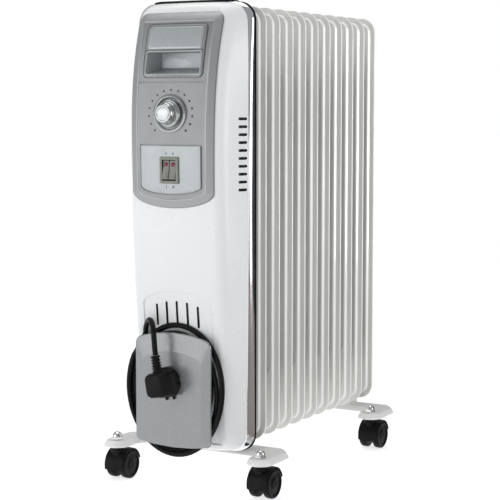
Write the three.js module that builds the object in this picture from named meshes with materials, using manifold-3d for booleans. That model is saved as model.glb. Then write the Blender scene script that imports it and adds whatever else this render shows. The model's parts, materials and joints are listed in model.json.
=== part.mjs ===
// Oil filled radiator heater: eleven hollow fins, a front housing with the controls,
// a cord winder with its wound lead, two foot brackets and four twin-wheel castors.
// Millimetres, +Z up, controls towards -Y, fins stacked along +Y.
import * as THREE from 'three';
import { mergeVertices } from 'three/addons/utils/BufferGeometryUtils.js';
import Module from 'manifold-3d';

const wasm = await Module();
wasm.setup();

// ---------------------------------------------------------------- driving dimensions
// Y values here are measured from the axis of the front castors; the whole
// heater is moved by originY at the end, so that the origin is under its middle.
const gap = 0.3;                       // clearance between touching pieces

const finCount = 11;
const finPitch = 37;
const firstFinY = 25.8;
const finHalfWidth = 84;
const finBottom = 61;
const finTop = 630;
const finCorner = 22;
const finSheet = 2.4;                  // thickness of the welded border
const finBorder = 7.5;                 // width of the welded border
const finBulge = 5;                    // how far each pressed half stands proud
const finWall = 1.3;
const headerRadius = 28;
const headerBore = 22;
const upperHeaderZ = 575;
const lowerHeaderZ = 111;
const lastCapDepth = 12;

const housingTop = 633;
const housingBottom = 54;
const housingCorner = 24;
const housingWall = 2.5;
const frontHalfWidth = 70;             // at the soft front corners
const rearHalfWidth = 87;              // at the chrome trim
const trimRearY = 27;
const trimDepthMiddle = 11.5;
const trimDepthEnds = 8.5;
const crownDepth = 3.5;                // how far the middle of the front stands proud
const bowPeakZ = 450;
const bowDepth = 31;                   // the front corners' furthest reach at bowPeakZ
const bowUpperPower = 2.5;             // how late the bow falls back above its peak
const bowLowerPower = 1.9;             // and below it
const bowBottomY = 2;
const softCorner = 9;

const panelThickness = 3.2;
const plateThickness = 1.2;
const panelTop = 620;
const panelHalfWidth = 63;
const recessHalfWidth = 40;
const recessBottom = 542;
const recessTop = 570;
const dialZ = 492;
const dialRadius = 24.5;
const knobFaceY = -55.33;
const switchZ = 420.5;
const switchHalfWidth = 14;
const switchHalfHeight = 17;
const rockerTilt = 10;                 // degrees either side of flat

const winderZ = 137;
const coverHalfWidth = 57;
const coverHalfHeight = 75;
const coverFrontY = -38;
const coverThickness = 6;
const cordDiameter = 7;
const coilHalfWidth = 74;
const coilHalfHeight = 85;
const coilBand = 23;                   // radial room that the turns take
const coilDepth = 7.4;
const coilY = -23.8;

const castorX = 110;
const castorTrail = 12;
const wheelRadius = 19.5;
const wheelWidth = 10;
const wheelOffset = 10.5;              // from the castor's middle to a wheel's middle
const wheelSides = 20;
const bracketTop = 54;
const bracketSheet = 2.5;
const bracketFlange = 8;
const saddleTop = finBottom - gap;
const clampOffset = 44.3;              // from a castor axis back to its clamp bolt
const clampWire = 3;                   // wire radius
const rearCastorY = (finCount - 2) * finPitch;

const degree = Math.PI / 180;

// ---------------------------------------------------------------- solids and booleans
function toSolid(geometry) {
  const bare = geometry.clone();
  bare.deleteAttribute('normal');
  bare.deleteAttribute('uv');
  const merged = mergeVertices(bare, 1e-4);
  const vertProperties = new Float32Array(merged.attributes.position.array);
  const triVerts = new Uint32Array(merged.index.array);
  const solid = new wasm.Manifold(new wasm.Mesh({ numProp: 3, vertProperties, triVerts }));
  return solid.volume() > 0 ? solid
    : new wasm.Manifold(new wasm.Mesh({ numProp: 3, vertProperties, triVerts: triVerts.reverse() }));
}

function toGeometry(solid) {
  const mesh = solid.getMesh();
  const geometry = new THREE.BufferGeometry();
  geometry.setAttribute('position', new THREE.BufferAttribute(mesh.vertProperties, 3));
  geometry.setIndex(new THREE.BufferAttribute(mesh.triVerts, 1));
  geometry.computeVertexNormals();
  return geometry;
}

const join = (...solids) => solids.reduce((sum, solid) => sum.add(solid));
const cut = (solid, ...cutters) => cutters.reduce((rest, cutter) => rest.subtract(cutter), solid);

// ---------------------------------------------------------------- shape helpers
// Extrusions name the axis they run along; the outline is drawn in the other two,
// as (x, z) for Y, (y, z) for X and (x, y) for Z.
const extrudeBasis = {
  x: new THREE.Matrix4().makeBasis(
    new THREE.Vector3(0, 1, 0), new THREE.Vector3(0, 0, 1), new THREE.Vector3(1, 0, 0)),
  y: new THREE.Matrix4().makeBasis(
    new THREE.Vector3(1, 0, 0), new THREE.Vector3(0, 0, 1), new THREE.Vector3(0, -1, 0)),
  z: new THREE.Matrix4(),
};

function extrude(points, axis, from, to, bevel = 0) {
  const shape = new THREE.Shape(points.map(([a, b]) => new THREE.Vector2(a, b)));
  const geometry = new THREE.ExtrudeGeometry(shape, {
    depth: to - from - 2 * bevel,
    bevelEnabled: bevel > 0,
    bevelThickness: bevel,
    bevelSize: bevel,
    bevelOffset: -bevel,
    bevelSegments: 1,
  });
  geometry.translate(0, 0, bevel);
  geometry.applyMatrix4(extrudeBasis[axis]);
  const shift = { x: [from, 0, 0], y: [0, to, 0], z: [0, 0, from] }[axis];
  geometry.translate(...shift);
  return toSolid(geometry);
}

function box(x0, x1, y0, y1, z0, z1) {
  const geometry = new THREE.BoxGeometry(x1 - x0, y1 - y0, z1 - z0);
  geometry.translate((x0 + x1) / 2, (y0 + y1) / 2, (z0 + z1) / 2);
  return toSolid(geometry);
}

// A corner arc from one angle to another, in steps, round a centre.
function arc(cx, cy, radiusX, radiusY, fromDegrees, toDegrees, steps) {
  const points = [];
  for (let i = 0; i <= steps; i += 1) {
    const angle = (fromDegrees + (toDegrees - fromDegrees) * i / steps) * degree;
    points.push([cx + radiusX * Math.cos(angle), cy + radiusY * Math.sin(angle)]);
  }
  return points;
}

function roundedRectangle(x0, x1, z0, z1, radius, steps = 4) {
  return [
    ...arc(x1 - radius, z1 - radius, radius, radius, 0, 90, steps),
    ...arc(x0 + radius, z1 - radius, radius, radius, 90, 180, steps),
    ...arc(x0 + radius, z0 + radius, radius, radius, 180, 270, steps),
    ...arc(x1 - radius, z0 + radius, radius, radius, 270, 360, steps),
  ];
}

function circle(cx, cy, radius, sides) {
  return arc(cx, cy, radius, radius, 0, 360 - 360 / sides, sides - 1);
}

// A rod of a given radius along one axis.
function rod(axis, a, b, radius, from, to, sides = 20) {
  return extrude(circle(a, b, radius, sides), axis, from, to);
}

// A turned piece about the Y axis: the profile gives [radius, y], from axis to axis.
function turnedAlongY(profile, sides, x = 0, z = 0) {
  const points = profile.map(([radius, y]) => new THREE.Vector2(radius, y));
  const geometry = new THREE.LatheGeometry(points, sides);
  geometry.translate(x, 0, z);
  return toSolid(geometry);
}

// A closed body through level outlines that all have the same number of points.
function loft(sections) {
  const count = sections[0].length;
  const index = [];
  for (let level = 0; level < sections.length - 1; level += 1) {
    for (let i = 0; i < count; i += 1) {
      const a = level * count + i;
      const b = level * count + (i + 1) % count;
      index.push(a, b, b + count, a, b + count, a + count);
    }
  }
  const addCap = (level, flip) => {
    const outline = sections[level].map(([x, y]) => new THREE.Vector2(x, y));
    const start = level * count;
    for (const [a, b, c] of THREE.ShapeUtils.triangulateShape(outline, [])) {
      index.push(start + a, start + (flip ? c : b), start + (flip ? b : c));
    }
  };
  addCap(0, true);
  addCap(sections.length - 1, false);
  const geometry = new THREE.BufferGeometry();
  geometry.setAttribute('position', new THREE.Float32BufferAttribute(sections.flat(2), 3));
  geometry.setIndex(index);
  return toSolid(geometry);
}

// A round bar or cord that follows a list of points.
function tube(points, radius, sides, steps, tension = 0.5) {
  const path = new THREE.CatmullRomCurve3(
    points.map((p) => new THREE.Vector3(...p)), false, 'catmullrom', tension);
  const section = new THREE.Shape(circle(0, 0, radius, sides).map(([a, b]) => new THREE.Vector2(a, b)));
  return toSolid(new THREE.ExtrudeGeometry(section, { steps, extrudePath: path, bevelEnabled: false }));
}

const plainMaterial = (color, roughness, metalness) => ({ color, roughness, metalness });

const finish = {
  fin: plainMaterial(0xe9e9e3, 0.45, 0.0),
  white: plainMaterial(0xf6f7f6, 0.35, 0.0),
  chrome: plainMaterial(0xc9ccd2, 0.1, 1.0),
  steel: plainMaterial(0x9b9ea2, 0.35, 0.9),
  black: plainMaterial(0x1c1b1d, 0.5, 0.0),
  panel: plainMaterial(0xa4a7aa, 0.4, 0.3),
  silver: plainMaterial(0xc3c9cf, 0.35, 0.5),
  olive: plainMaterial(0x77796c, 0.4, 0.0),
  foot: plainMaterial(0xf1f2ef, 0.4, 0.0),
  ceramic: plainMaterial(0xe6e0d2, 0.7, 0.0),
};

function piece(name, solid, look) {
  const mesh = new THREE.Mesh(toGeometry(solid), new THREE.MeshStandardMaterial(finish[look]));
  mesh.name = name;
  return mesh;
}

// ---------------------------------------------------------------- fins
const finOutline = (inset, steps) => roundedRectangle(
  -finHalfWidth + inset, finHalfWidth - inset,
  finBottom + inset, finTop - inset, finCorner - inset, steps);

// One fin: a welded border, two pressed halves with an oil space between them, and
// the two header rings that meet the next fin's rings.
function finSolid({ frontClosed = [], rearClosed = [] } = {}) {
  const reach = finPitch / 2 - gap / 2;
  const border = extrude(finOutline(0, 3), 'y', -finSheet / 2, finSheet / 2);
  const halves = extrude(finOutline(finBorder, 3), 'y', -finBulge, finBulge);
  const oilInset = finBorder + finWall;
  let oil = extrude(finOutline(oilInset, 1), 'y', -finBulge + finWall, finBulge - finWall);
  let body = join(border, halves);
  for (const z of [upperHeaderZ, lowerHeaderZ]) {
    const front = frontClosed.includes(z);
    const rear = rearClosed.includes(z);
    const ringFront = front ? -lastCapDepth : -reach;
    const ringRear = rear ? lastCapDepth : reach;
    body = body.add(rod('y', 0, z, headerRadius, ringFront, ringRear, 12));
    const boreFront = front ? -lastCapDepth + 2 : -reach - 1;
    const boreRear = rear ? lastCapDepth - 2 : reach + 1;
    oil = oil.add(rod('y', 0, z, headerBore, boreFront, boreRear, 8));
  }
  return cut(body, oil);
}

const fillerRadius = 6;

function fins() {
  const group = new THREE.Group();
  const last = finCount - 1;
  const middleFin = finSolid();
  const firstFin = finSolid({ frontClosed: [upperHeaderZ] });
  const fillerHole = rod('y', 0, upperHeaderZ, fillerRadius + gap, 0, lastCapDepth + 5, 16);
  const lastFin = cut(finSolid({ rearClosed: [upperHeaderZ, lowerHeaderZ] }), fillerHole);
  for (let i = 0; i < finCount; i += 1) {
    const solid = { 0: firstFin, [last]: lastFin }[i] ?? middleFin;
    const fin = piece(`fin_${String(i + 1).padStart(2, '0')}`, solid, 'fin');
    fin.position.y = firstFinY + i * finPitch;
    group.add(fin);
  }
  return group;
}

const lastFinY = firstFinY + (finCount - 1) * finPitch;

function fillerPlug() {
  const face = lastFinY + lastCapDepth;
  const shank = rod('y', 0, upperHeaderZ, fillerRadius, face - 6, face + 0.5, 16);
  const head = rod('y', 0, upperHeaderZ, 9, face + gap, face + 4, 6);
  return piece('filler_plug', join(shank, head), 'steel');
}

// A U-shaped sheathed element on the flange that closes the lower header's front.
function heatingElement() {
  const leg = 9;
  const frontFace = firstFinY - finPitch / 2;
  const terminalY = frontFace - 6.5;
  const bendY = lastFinY - 40;
  const points = [
    [-leg, terminalY, lowerHeaderZ],
    [-leg, bendY - leg, lowerHeaderZ],
    [0, bendY, lowerHeaderZ],
    [leg, bendY - leg, lowerHeaderZ],
    [leg, terminalY, lowerHeaderZ],
  ];
  const flange = rod('y', 0, lowerHeaderZ, headerRadius - 2, frontFace - 5.5, frontFace - gap, 16);
  return piece('heating_element', join(tube(points, 4, 6, 16, 0.1), flange), 'steel');
}

// ---------------------------------------------------------------- front housing
// How far forward the front corners reach at a height: a bow with its peak at bowPeakZ.
function bow(z) {
  if (z > bowPeakZ) {
    const above = (z - bowPeakZ) / (housingTop - bowPeakZ);
    return -bowDepth + bowDepth * above ** bowUpperPower;
  }
  const below = (bowPeakZ - z) / (bowPeakZ - housingBottom);
  return -bowDepth + (bowDepth + bowBottomY) * below ** bowLowerPower;
}

// The middle of the front at a height, which stands crownDepth ahead of the corners.
const frontAt = (z, proud = 0) => bow(z) - crownDepth - proud;

// How much narrower the housing is near its rounded top and bottom corners.
function cornerInset(z) {
  const toEnd = Math.min(housingTop - z, z - housingBottom);
  const rise = Math.max(housingCorner - toEnd, 0);
  return housingCorner - Math.sqrt(Math.max(housingCorner ** 2 - rise ** 2, 0));
}

// Horizontal section of the housing, counter-clockwise seen from above. It is
// grown outwards by proud, or shrunk where proud is negative.
function housingSection(z, proud, rearY) {
  const inset = cornerInset(z);
  const side = frontHalfWidth - inset + proud;
  const rear = rearHalfWidth - inset + proud;
  const corner = bow(z) - proud;
  const front = [];
  const steps = 6;
  for (let i = 0; i <= steps; i += 1) {
    const across = -1 + 2 * i / steps;
    front.push([across * (side - softCorner), corner - crownDepth * (1 - across ** 2), z]);
  }
  return [
    ...front,
    [side - 0.3 * softCorner, corner + 0.3 * softCorner, z],
    [side, corner + softCorner, z],
    [rear, rearY, z],
    [-rear, rearY, z],
    [-side, corner + softCorner, z],
    [-side + 0.3 * softCorner, corner + 0.3 * softCorner, z],
  ];
}

function housingLevels(low, high) {
  const levels = [low];
  const cornerSteps = [0.06, 0.22, 0.5, 1];
  for (const step of cornerSteps) {
    levels.push(low + housingCorner * step);
  }
  const middleSteps = 8;
  const start = low + housingCorner;
  const end = high - housingCorner;
  for (let i = 1; i < middleSteps; i += 1) {
    levels.push(start + (end - start) * i / middleSteps);
  }
  for (const step of [...cornerSteps].reverse()) {
    levels.push(high - housingCorner * step);
  }
  levels.push(high);
  return levels;
}

function housingBlock(proud, rearY = trimRearY) {
  const ends = Math.min(proud, 0);
  const levels = housingLevels(housingBottom - ends, housingTop + ends);
  return loft(levels.map((z) => housingSection(z, proud, rearY)));
}

// Where the white shell meets the chrome trim, seen from the side: the trim is
// deepest at half height.
function partingY(z) {
  const middle = (housingTop + housingBottom) / 2;
  const half = (housingTop - housingBottom) / 2;
  const across = (z - middle) / half;
  return trimRearY - trimDepthMiddle + (trimDepthMiddle - trimDepthEnds) * across ** 2;
}

// Everything between a curve y(z), seen from the side, and a far plane.
function curtain(curveY, farY) {
  const steps = 14;
  const low = housingBottom - 5;
  const high = housingTop + 5;
  const curve = [];
  for (let i = 0; i <= steps; i += 1) {
    const z = low + (high - low) * i / steps;
    curve.push([curveY(z), z]);
  }
  return extrude([...curve, [farY, high], [farY, low]], 'x', -110, 110);
}

const farFront = -90;
const farRear = 90;

// Slots: a rounded bar cut through a wall.
const sideVentCount = 10;
const sideVentPitch = 10;
const sideVentTop = 485.5;
const sideVentFrontY = 1;
const sideVentRearY = 14.5;
const ventHalfHeight = 1.5;

function sideVents() {
  const vents = [];
  for (let i = 0; i < sideVentCount; i += 1) {
    const z = sideVentTop - i * sideVentPitch;
    const outline = roundedRectangle(
      sideVentFrontY, sideVentRearY, z - ventHalfHeight, z + ventHalfHeight, 1.3, 1);
    vents.push(extrude(outline, 'x', 60, 95), extrude(outline, 'x', -95, -60));
  }
  return vents;
}

const frontVentPitch = 15.5;
const frontVentTop = 252;              // of the middle slot; the others end lower
const frontVentBottom = 218;

function frontVents() {
  return [-2, -1, 0, 1, 2].map((place) => {
    const x = place * frontVentPitch;
    const top = frontVentTop - 1.4 * place * place;
    const outline = roundedRectangle(
      x - ventHalfHeight, x + ventHalfHeight, frontVentBottom, top, 1.4, 1);
    return extrude(outline, 'y', -45, 8);
  });
}

// The arched recess round the front vents and the winder has a floor that is flat
// across. Grown by the wall, the same shape keeps the wall's thickness behind it.
const recessFloor = (z) => bow(z) + 0.5;

function ventRecess(grow) {
  const halfWidth = 52 + grow;
  const outline = [
    [-halfWidth, 64 - grow], [halfWidth, 64 - grow], ...arc(0, 246, halfWidth, 18 + grow, 0, 180, 10),
  ];
  return extrude(outline, 'y', farFront, 20)
    .intersect(curtain((z) => recessFloor(z) + grow, farFront));
}

function frontHousing() {
  const outer = cut(housingBlock(0), ventRecess(0));
  const inner = cut(housingBlock(-housingWall, trimRearY + 5), ventRecess(housingWall));
  const shell = cut(outer, inner, curtain(partingY, farRear));
  const holes = [
    extrude(panelOutline(8), 'y', -60, 5),
    rod('y', glandX, glandZ, glandRadius + gap, -60, 8, 16),
    ...sideVents(),
    ...frontVents(),
  ];
  return piece('front_housing', cut(shell, ...holes), 'white');
}

// The trim goes on with the housing's flare and is as thin as the gap round the fin.
function chromeTrim() {
  const ring = cut(
    housingBlock(0), housingBlock(-frameWall, trimRearY + 5), openFrame(firstFinY - 6),
    curtain((z) => partingY(z) + gap, farFront));
  return piece('chrome_trim', ring, 'chrome');
}

// The room round the first fin inside the two frames, from a given depth backwards.
const frameWall = 2;

function openFrame(fromY) {
  const half = finHalfWidth + 1;
  const outline = roundedRectangle(
    -half, half, housingBottom + frameWall, housingTop - frameWall, housingCorner - 2);
  return extrude(outline, 'y', fromY, farRear);
}

const frameRearY = trimRearY + 2.8;

// The black frame behind the chrome, seen as a thin dark edge all round.
function rearFrame() {
  const edge = 1;
  const outer = roundedRectangle(
    -rearHalfWidth - edge, rearHalfWidth + edge,
    housingBottom - edge, housingTop + edge, housingCorner);
  const frame = cut(
    extrude(outer, 'y', trimRearY + gap, frameRearY), openFrame(trimRearY));
  return piece('rear_frame', frame, 'black');
}

// The sheet between the controls and the first fin, with holes for the headers.
function heatShield() {
  const half = frontHalfWidth - 6;
  const endInset = 12;
  const outline = roundedRectangle(
    -half, half, housingBottom + endInset, housingTop - endInset, housingCorner / 2, 2);
  const sheet = extrude(outline, 'y', 12.5, 14);
  const holes = [upperHeaderZ, lowerHeaderZ].map(
    (z) => rod('y', 0, z, headerRadius + 1, 0, 30, 12));
  return piece('heat_shield', cut(sheet, ...holes), 'steel');
}

// The low black bar over the rear frame's top, on two feet that stand on the trim.
function topHandle() {
  const top = housingTop + 4;
  const half = 61;
  const bar = extrude(
    roundedRectangle(-half, half, top - 2.4, top, 1.1, 1), 'y', 20, 35);
  const feet = [-1, 1].map((side) => box(
    side * 50 - 8, side * 50 + 8, 20, trimRearY - gap, housingTop + gap, top - 1));
  return piece('top_handle', join(bar, ...feet), 'black');
}

// ---------------------------------------------------------------- control panel
// The panel narrows downwards and ends in a shallow arc.
function panelOutline(inset = 0) {
  const half = panelHalfWidth - inset;
  const top = panelTop - inset;
  const corner = 12;
  return [
    ...arc(half - corner, top - corner, corner, corner, 0, 90, 4),
    ...arc(-half + corner, top - corner, corner, corner, 90, 180, 4),
    [-half + 1, 500],
    ...arc(0, 392, half - 2, 20 - inset, 180, 360, 12),
    [half - 1, 500],
  ];
}

// A skin of the housing's front between two heights above its surface.
function frontSkin(outline, low, high) {
  return extrude(outline, 'y', -80, -4)
    .intersect(housingBlock(high))
    .subtract(housingBlock(low));
}

function panelHoles() {
  const clear = 2.5;
  return [
    box(-recessHalfWidth - clear - gap, recessHalfWidth + clear + gap, -80, 20,
      recessBottom - clear - gap, recessTop + clear + gap),
    rod('y', 0, dialZ, 5, -80, 20, 16),
    box(-switchHalfWidth + 2, switchHalfWidth - 2, -80, 20,
      switchZ - switchHalfHeight + 2, switchZ + switchHalfHeight - 2),
  ];
}

const panelProud = gap + panelThickness;

function controlPanel() {
  return piece('control_panel',
    cut(frontSkin(panelOutline(), gap, panelProud), ...panelHoles()), 'panel');
}

// The finger recess under the panel's top, a cup that is open to the front.
function handleCup() {
  const wall = 2.2;
  const depthY = 4;
  const outer = box(-recessHalfWidth - wall, recessHalfWidth + wall, -80, depthY,
    recessBottom - wall, recessTop + wall);
  const inner = box(-recessHalfWidth, recessHalfWidth, -80, depthY - wall,
    recessBottom, recessTop);
  return piece('handle_cup', cut(outer, inner).intersect(housingBlock(panelProud)), 'silver');
}

function blankPlate() {
  const outline = roundedRectangle(-44, 44, recessTop + 5, 602, 2, 2);
  return piece('blank_plate',
    frontSkin(outline, panelProud + gap, panelProud + gap + plateThickness), 'silver');
}

function switchPlate() {
  const outline = [[-45, 452], ...arc(0, 400, 45, 10, 180, 360, 8), [45, 452]];
  const hole = box(-switchHalfWidth + 2, switchHalfWidth - 2, -80, 20,
    switchZ - switchHalfHeight + 2, switchZ + switchHalfHeight - 2);
  return piece('switch_plate',
    cut(frontSkin(outline, panelProud + gap, panelProud + gap + plateThickness), hole), 'silver');
}

const dialRingFront = frontAt(dialZ, panelProud) - 3.5;

function dialRing() {
  const ring = cut(
    rod('y', 0, dialZ, dialRadius, dialRingFront, -20, 24),
    rod('y', 0, dialZ, dialRadius - 5, -80, 20, 20),
    housingBlock(panelProud + gap));
  return piece('dial_ring', ring, 'silver');
}

// The knob with its spindle, about its own axis.
function knob() {
  const solid = turnedAlongY([
    [0, knobFaceY], [10.5, knobFaceY], [12, knobFaceY + 1.5], [13, knobFaceY + 11],
    [16.5, knobFaceY + 13], [17.2, dialRingFront + 2.5], [3, dialRingFront + 2.5],
    [3, thermostatFrontY + 8], [0, thermostatFrontY + 8],
  ], 20);
  const mesh = piece('knob', solid, 'silver');
  mesh.position.z = dialZ;
  return mesh;
}

const thermostatFrontY = -20;

function thermostat() {
  const body = box(-17, 17, thermostatFrontY, thermostatFrontY + 24, dialZ - 22, dialZ + 14);
  const bore = rod('y', 0, dialZ, 3.6, thermostatFrontY - 1, thermostatFrontY + 12, 12);
  return piece('thermostat', cut(body, bore), 'ceramic');
}

// The double switch: a bezel in front of the plate and a body behind the panel.
const switchFrontY = frontAt(switchZ, panelProud + plateThickness + gap) - 2.2;
const rockerPivotY = switchFrontY + 4;
const rockerHalfHeight = 12.5;

function switchBody() {
  const seat = frontAt(switchZ, panelProud + plateThickness + 2 * gap);
  const bezel = box(-switchHalfWidth, switchHalfWidth, switchFrontY, seat,
    switchZ - switchHalfHeight, switchZ + switchHalfHeight);
  const body = box(-switchHalfWidth + 3, switchHalfWidth - 3, seat - 1, seat + 22,
    switchZ - switchHalfHeight + 3, switchZ + switchHalfHeight - 3);
  const pocket = box(-10.6, 10.6, -80, switchFrontY + 9,
    switchZ - rockerHalfHeight - 1, switchZ + rockerHalfHeight + 1);
  return piece('switch_body', cut(join(bezel, body), pocket), 'olive');
}

// Unturned, a rocker lies flat; it rests with its top pressed in.
function rocker(name, side) {
  const half = rockerHalfHeight - 0.4;
  const profile = [
    [-3.6, -half], [-3.1, 0], [-3.6, half], [-1, half], [3.4, 4], [3.4, -4], [-1, -half],
  ];
  const solid = extrude(profile, 'x', -4.9, 4.9);
  const mesh = piece(name, solid, 'olive');
  mesh.position.set(side * 5.2, rockerPivotY, switchZ);
  mesh.rotation.x = -rockerTilt * degree;
  return mesh;
}

function innerParts() {
  const group = new THREE.Group();
  const terminals = box(24, 52, 3, 11, 80, 94);
  group.add(piece('terminal_block', terminals, 'ceramic'));
  const cutout = join(
    rod('y', 50, 160, 8, 6, 11.9, 16), box(44, 56, 2, 7, 156, 164));
  group.add(piece('thermal_cutout', cutout, 'ceramic'));
  return group;
}

// ---------------------------------------------------------------- cord winder
const coverBackY = coverFrontY + coverThickness;
const hubHalfWidth = 26;
const hubHalfHeight = 34;

// The cover's top and bottom bow outwards and its upper corners are cut off.
function coverOutline(inset) {
  const half = coverHalfWidth - inset;
  const high = winderZ + coverHalfHeight - inset;
  const low = winderZ - coverHalfHeight + inset;
  return [
    ...arc(half - 10, low + 16, 10, 10, 270, 360, 3),
    [half, high - 16],
    [half - 9, high - 6],
    [half / 3, high],
    [-half / 3, high],
    [-half + 9, high - 6],
    [-half, high - 16],
    ...arc(-half + 10, low + 16, 10, 10, 180, 270, 3),
    [-half / 3, low],
    [half / 3, low],
  ];
}

const plugX = -4;
const plugZ = 148.5;
const plugTurn = -10;                  // degrees that the lead's entry leans from upright
const plugFaceY = coverFrontY - gap;
const plugDepth = 36;
const plugLeadY = plugFaceY - 21;      // the plane in which the lead comes in
const plugLeadLength = 37;             // from the plug's middle to the sleeve's end
const pinSpacing = 19;
const pinRadius = 2.4;
const pinLength = 19;

// Where the plug's two pins go, across its lead.
function pinPlaces() {
  return [-1, 1].map((side) => [
    plugX + side * pinSpacing / 2 * Math.cos(plugTurn * degree),
    plugZ - side * pinSpacing / 2 * Math.sin(plugTurn * degree),
  ]);
}

function pinHoles() {
  return pinPlaces().map(([x, z]) => rod(
    'y', x, z, pinRadius + 0.5, coverFrontY - 5, plugFaceY + pinLength + 1, 12));
}

function winderCover() {
  const rim = extrude(coverOutline(0), 'y', coverBackY - 2.6, coverBackY);
  const face = extrude(coverOutline(6), 'y', coverFrontY, coverBackY - 1);
  return piece('winder_cover', cut(join(rim, face), ...pinHoles()), 'panel');
}

// The oval post that the lead is wound round, between the housing and the cover.
function winderHub() {
  const outline = arc(0, winderZ, hubHalfWidth, hubHalfHeight, 0, 345, 23);
  const post = extrude(outline, 'y', coverBackY + gap, 10)
    .intersect(curtain((z) => recessFloor(z) - gap, farFront));
  return piece('winder_hub', cut(post, ...pinHoles()), 'panel');
}

// ---------------------------------------------------------------- lead and plug
const glandX = 40;
const glandZ = 150;
const glandRadius = 6;
const glandLength = 43;

// The gland turns the lead down along the winding and tapers.
function cordGland() {
  const stem = rod('y', glandX, glandZ, glandRadius, coilY - 5.6, recessFloor(glandZ) + 8, 16);
  const sleeve = new THREE.CylinderGeometry(5.6, 4.2, glandLength, 12);
  sleeve.rotateX(90 * degree);
  sleeve.translate(glandX, coilY, glandZ - glandLength / 2);
  return piece('cord_gland', join(stem, toSolid(sleeve)), 'black');
}

function cordCoil() {
  const outer = arc(0, winderZ, coilHalfWidth, coilHalfHeight, 0, 350, 35);
  const inner = arc(0, winderZ, coilHalfWidth - coilBand, coilHalfHeight - coilBand, 0, 350, 35);
  const ring = cut(
    extrude(outer, 'y', coilY - coilDepth / 2, coilY + coilDepth / 2),
    extrude(inner, 'y', farFront, farRear));
  return piece('cord_coil', ring, 'black');
}

// The free end leaves the coil at its upper left, arches over the cover's top edge
// and comes down to the plug.
const tailRoute = [
  [-49, -23.4, 204.6],
  [-46.9, -24.9, 213.5],
  [-42, -28.8, 221.3],
  [-35.4, -35, 226.2],
  [-28.2, -42, 227],
  [-21.6, -48.4, 223.6],
  [-16.7, -53.4, 216.3],
  [-13.7, -56.6, 206],
  [-11.9, -58, 195],
  [-10.5, -58.3, 185.4],
];

function cordTail() {
  return piece('cord_tail', tube(tailRoute, cordDiameter / 2, 8, 24), 'black');
}

// The plug is parked with its pins through the cover: a round face, an eight-sided
// grip and a sleeve that leans with the lead.
function plug() {
  const disc = rod('y', 0, 0, 19.5, plugFaceY - 8, plugFaceY, 24);
  const grip = extrude(
    [[-13, -11], [-9, -16], [7, -16], [11, -11], [11, 11], [7, 15], [-9, 15], [-13, 11]],
    'y', plugFaceY - plugDepth, plugFaceY - 7, 3);
  const sleeve = new THREE.CylinderGeometry(5.6, 6.4, 26, 12);
  sleeve.rotateX(90 * degree);
  sleeve.translate(0, plugLeadY, plugLeadLength - 13);
  const pins = [-1, 1].map((side) => rod(
    'y', side * pinSpacing / 2, 0, pinRadius, plugFaceY - 1, plugFaceY + pinLength, 10));
  const mesh = piece('plug', join(disc, grip, toSolid(sleeve), ...pins), 'black');
  mesh.position.set(plugX, 0, plugZ);
  mesh.rotation.y = plugTurn * degree;
  return mesh;
}

// ---------------------------------------------------------------- brackets
// Plan of a foot bracket about its castor axis line: a bar behind the housing and
// an ear at each end that reaches forward to the castor.
function bracketOutline(inset) {
  const ear = 18 - inset;
  const right = [
    [84 + inset, 31 + inset],
    [92 + inset, 24 + inset],
    ...arc(castorX, 0, ear, ear, 180, 360, 6),
    [castorX + ear - 1, 46],
    [castorX + ear - 14, 66 - inset],
  ];
  const left = right.map(([x, y]) => [-x, y]).reverse();
  return [...right, ...left];
}

const atLevel = (outline, z) => outline.map(([x, y]) => [x, y, z]);

function bracket(name, axisY) {
  const low = bracketTop - bracketFlange;
  const slope = 4;
  const outer = loft([
    atLevel(bracketOutline(0), low), atLevel(bracketOutline(0), low + 1.5),
    atLevel(bracketOutline(slope), bracketTop),
  ]);
  const inner = loft([
    atLevel(bracketOutline(bracketSheet), low - 1), atLevel(bracketOutline(bracketSheet), low + 1),
    atLevel(bracketOutline(slope + 1.5), bracketTop - bracketSheet),
  ]);
  const saddle = box(-60, 60, 34, 62, low + 2, saddleTop);
  const saddleRoom = box(-60 + bracketSheet, 60 - bracketSheet, 34 + bracketSheet, 62 - bracketSheet,
    low - 1, saddleTop - bracketSheet);
  const holes = [
    ...[-1, 1].map((side) => rod('z', side * castorX, 0, 3.5, 40, 60, 16)),
    ...[-1, 1].map((side) => rod('z', side * clampHalfWidth, clampOffset, clampWire + 0.5, 40, 64, 16)),
  ];
  const solid = cut(join(cut(outer, inner), saddle), saddleRoom, ...holes);
  const mesh = piece(name, solid, 'foot');
  mesh.position.y = axisY;
  return mesh;
}

// The clamp bolt goes over a header ring and down through the saddle.
const clampHalfWidth = headerRadius + clampWire + gap;

function clampBolt(name, axisY) {
  const low = bracketTop - 7;
  const legs = [low, 80, lowerHeaderZ - 8];
  const points = [
    ...legs.map((z) => [clampHalfWidth, 0, z]),
    ...arc(0, lowerHeaderZ, clampHalfWidth, clampHalfWidth, 0, 180, 8).map(([x, z]) => [x, 0, z]),
    ...legs.reverse().map((z) => [-clampHalfWidth, 0, z]),
  ];
  const mesh = piece(name, tube(points, clampWire, 8, 20), 'steel');
  mesh.position.y = axisY + clampOffset;
  return mesh;
}

function wingNut(name, x, y) {
  const top = saddleTop - bracketSheet - gap;
  const barrel = rod('z', 0, 0, 6, top - 6, top, 12);
  const wings = box(-12, 12, -1.3, 1.3, top - 8, top - 1);
  const bore = rod('z', 0, 0, clampWire + 0.5, top - 10, top + 1, 12);
  const mesh = piece(name, cut(join(barrel, wings), bore), 'steel');
  mesh.position.set(x, y, 0);
  return mesh;
}

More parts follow.
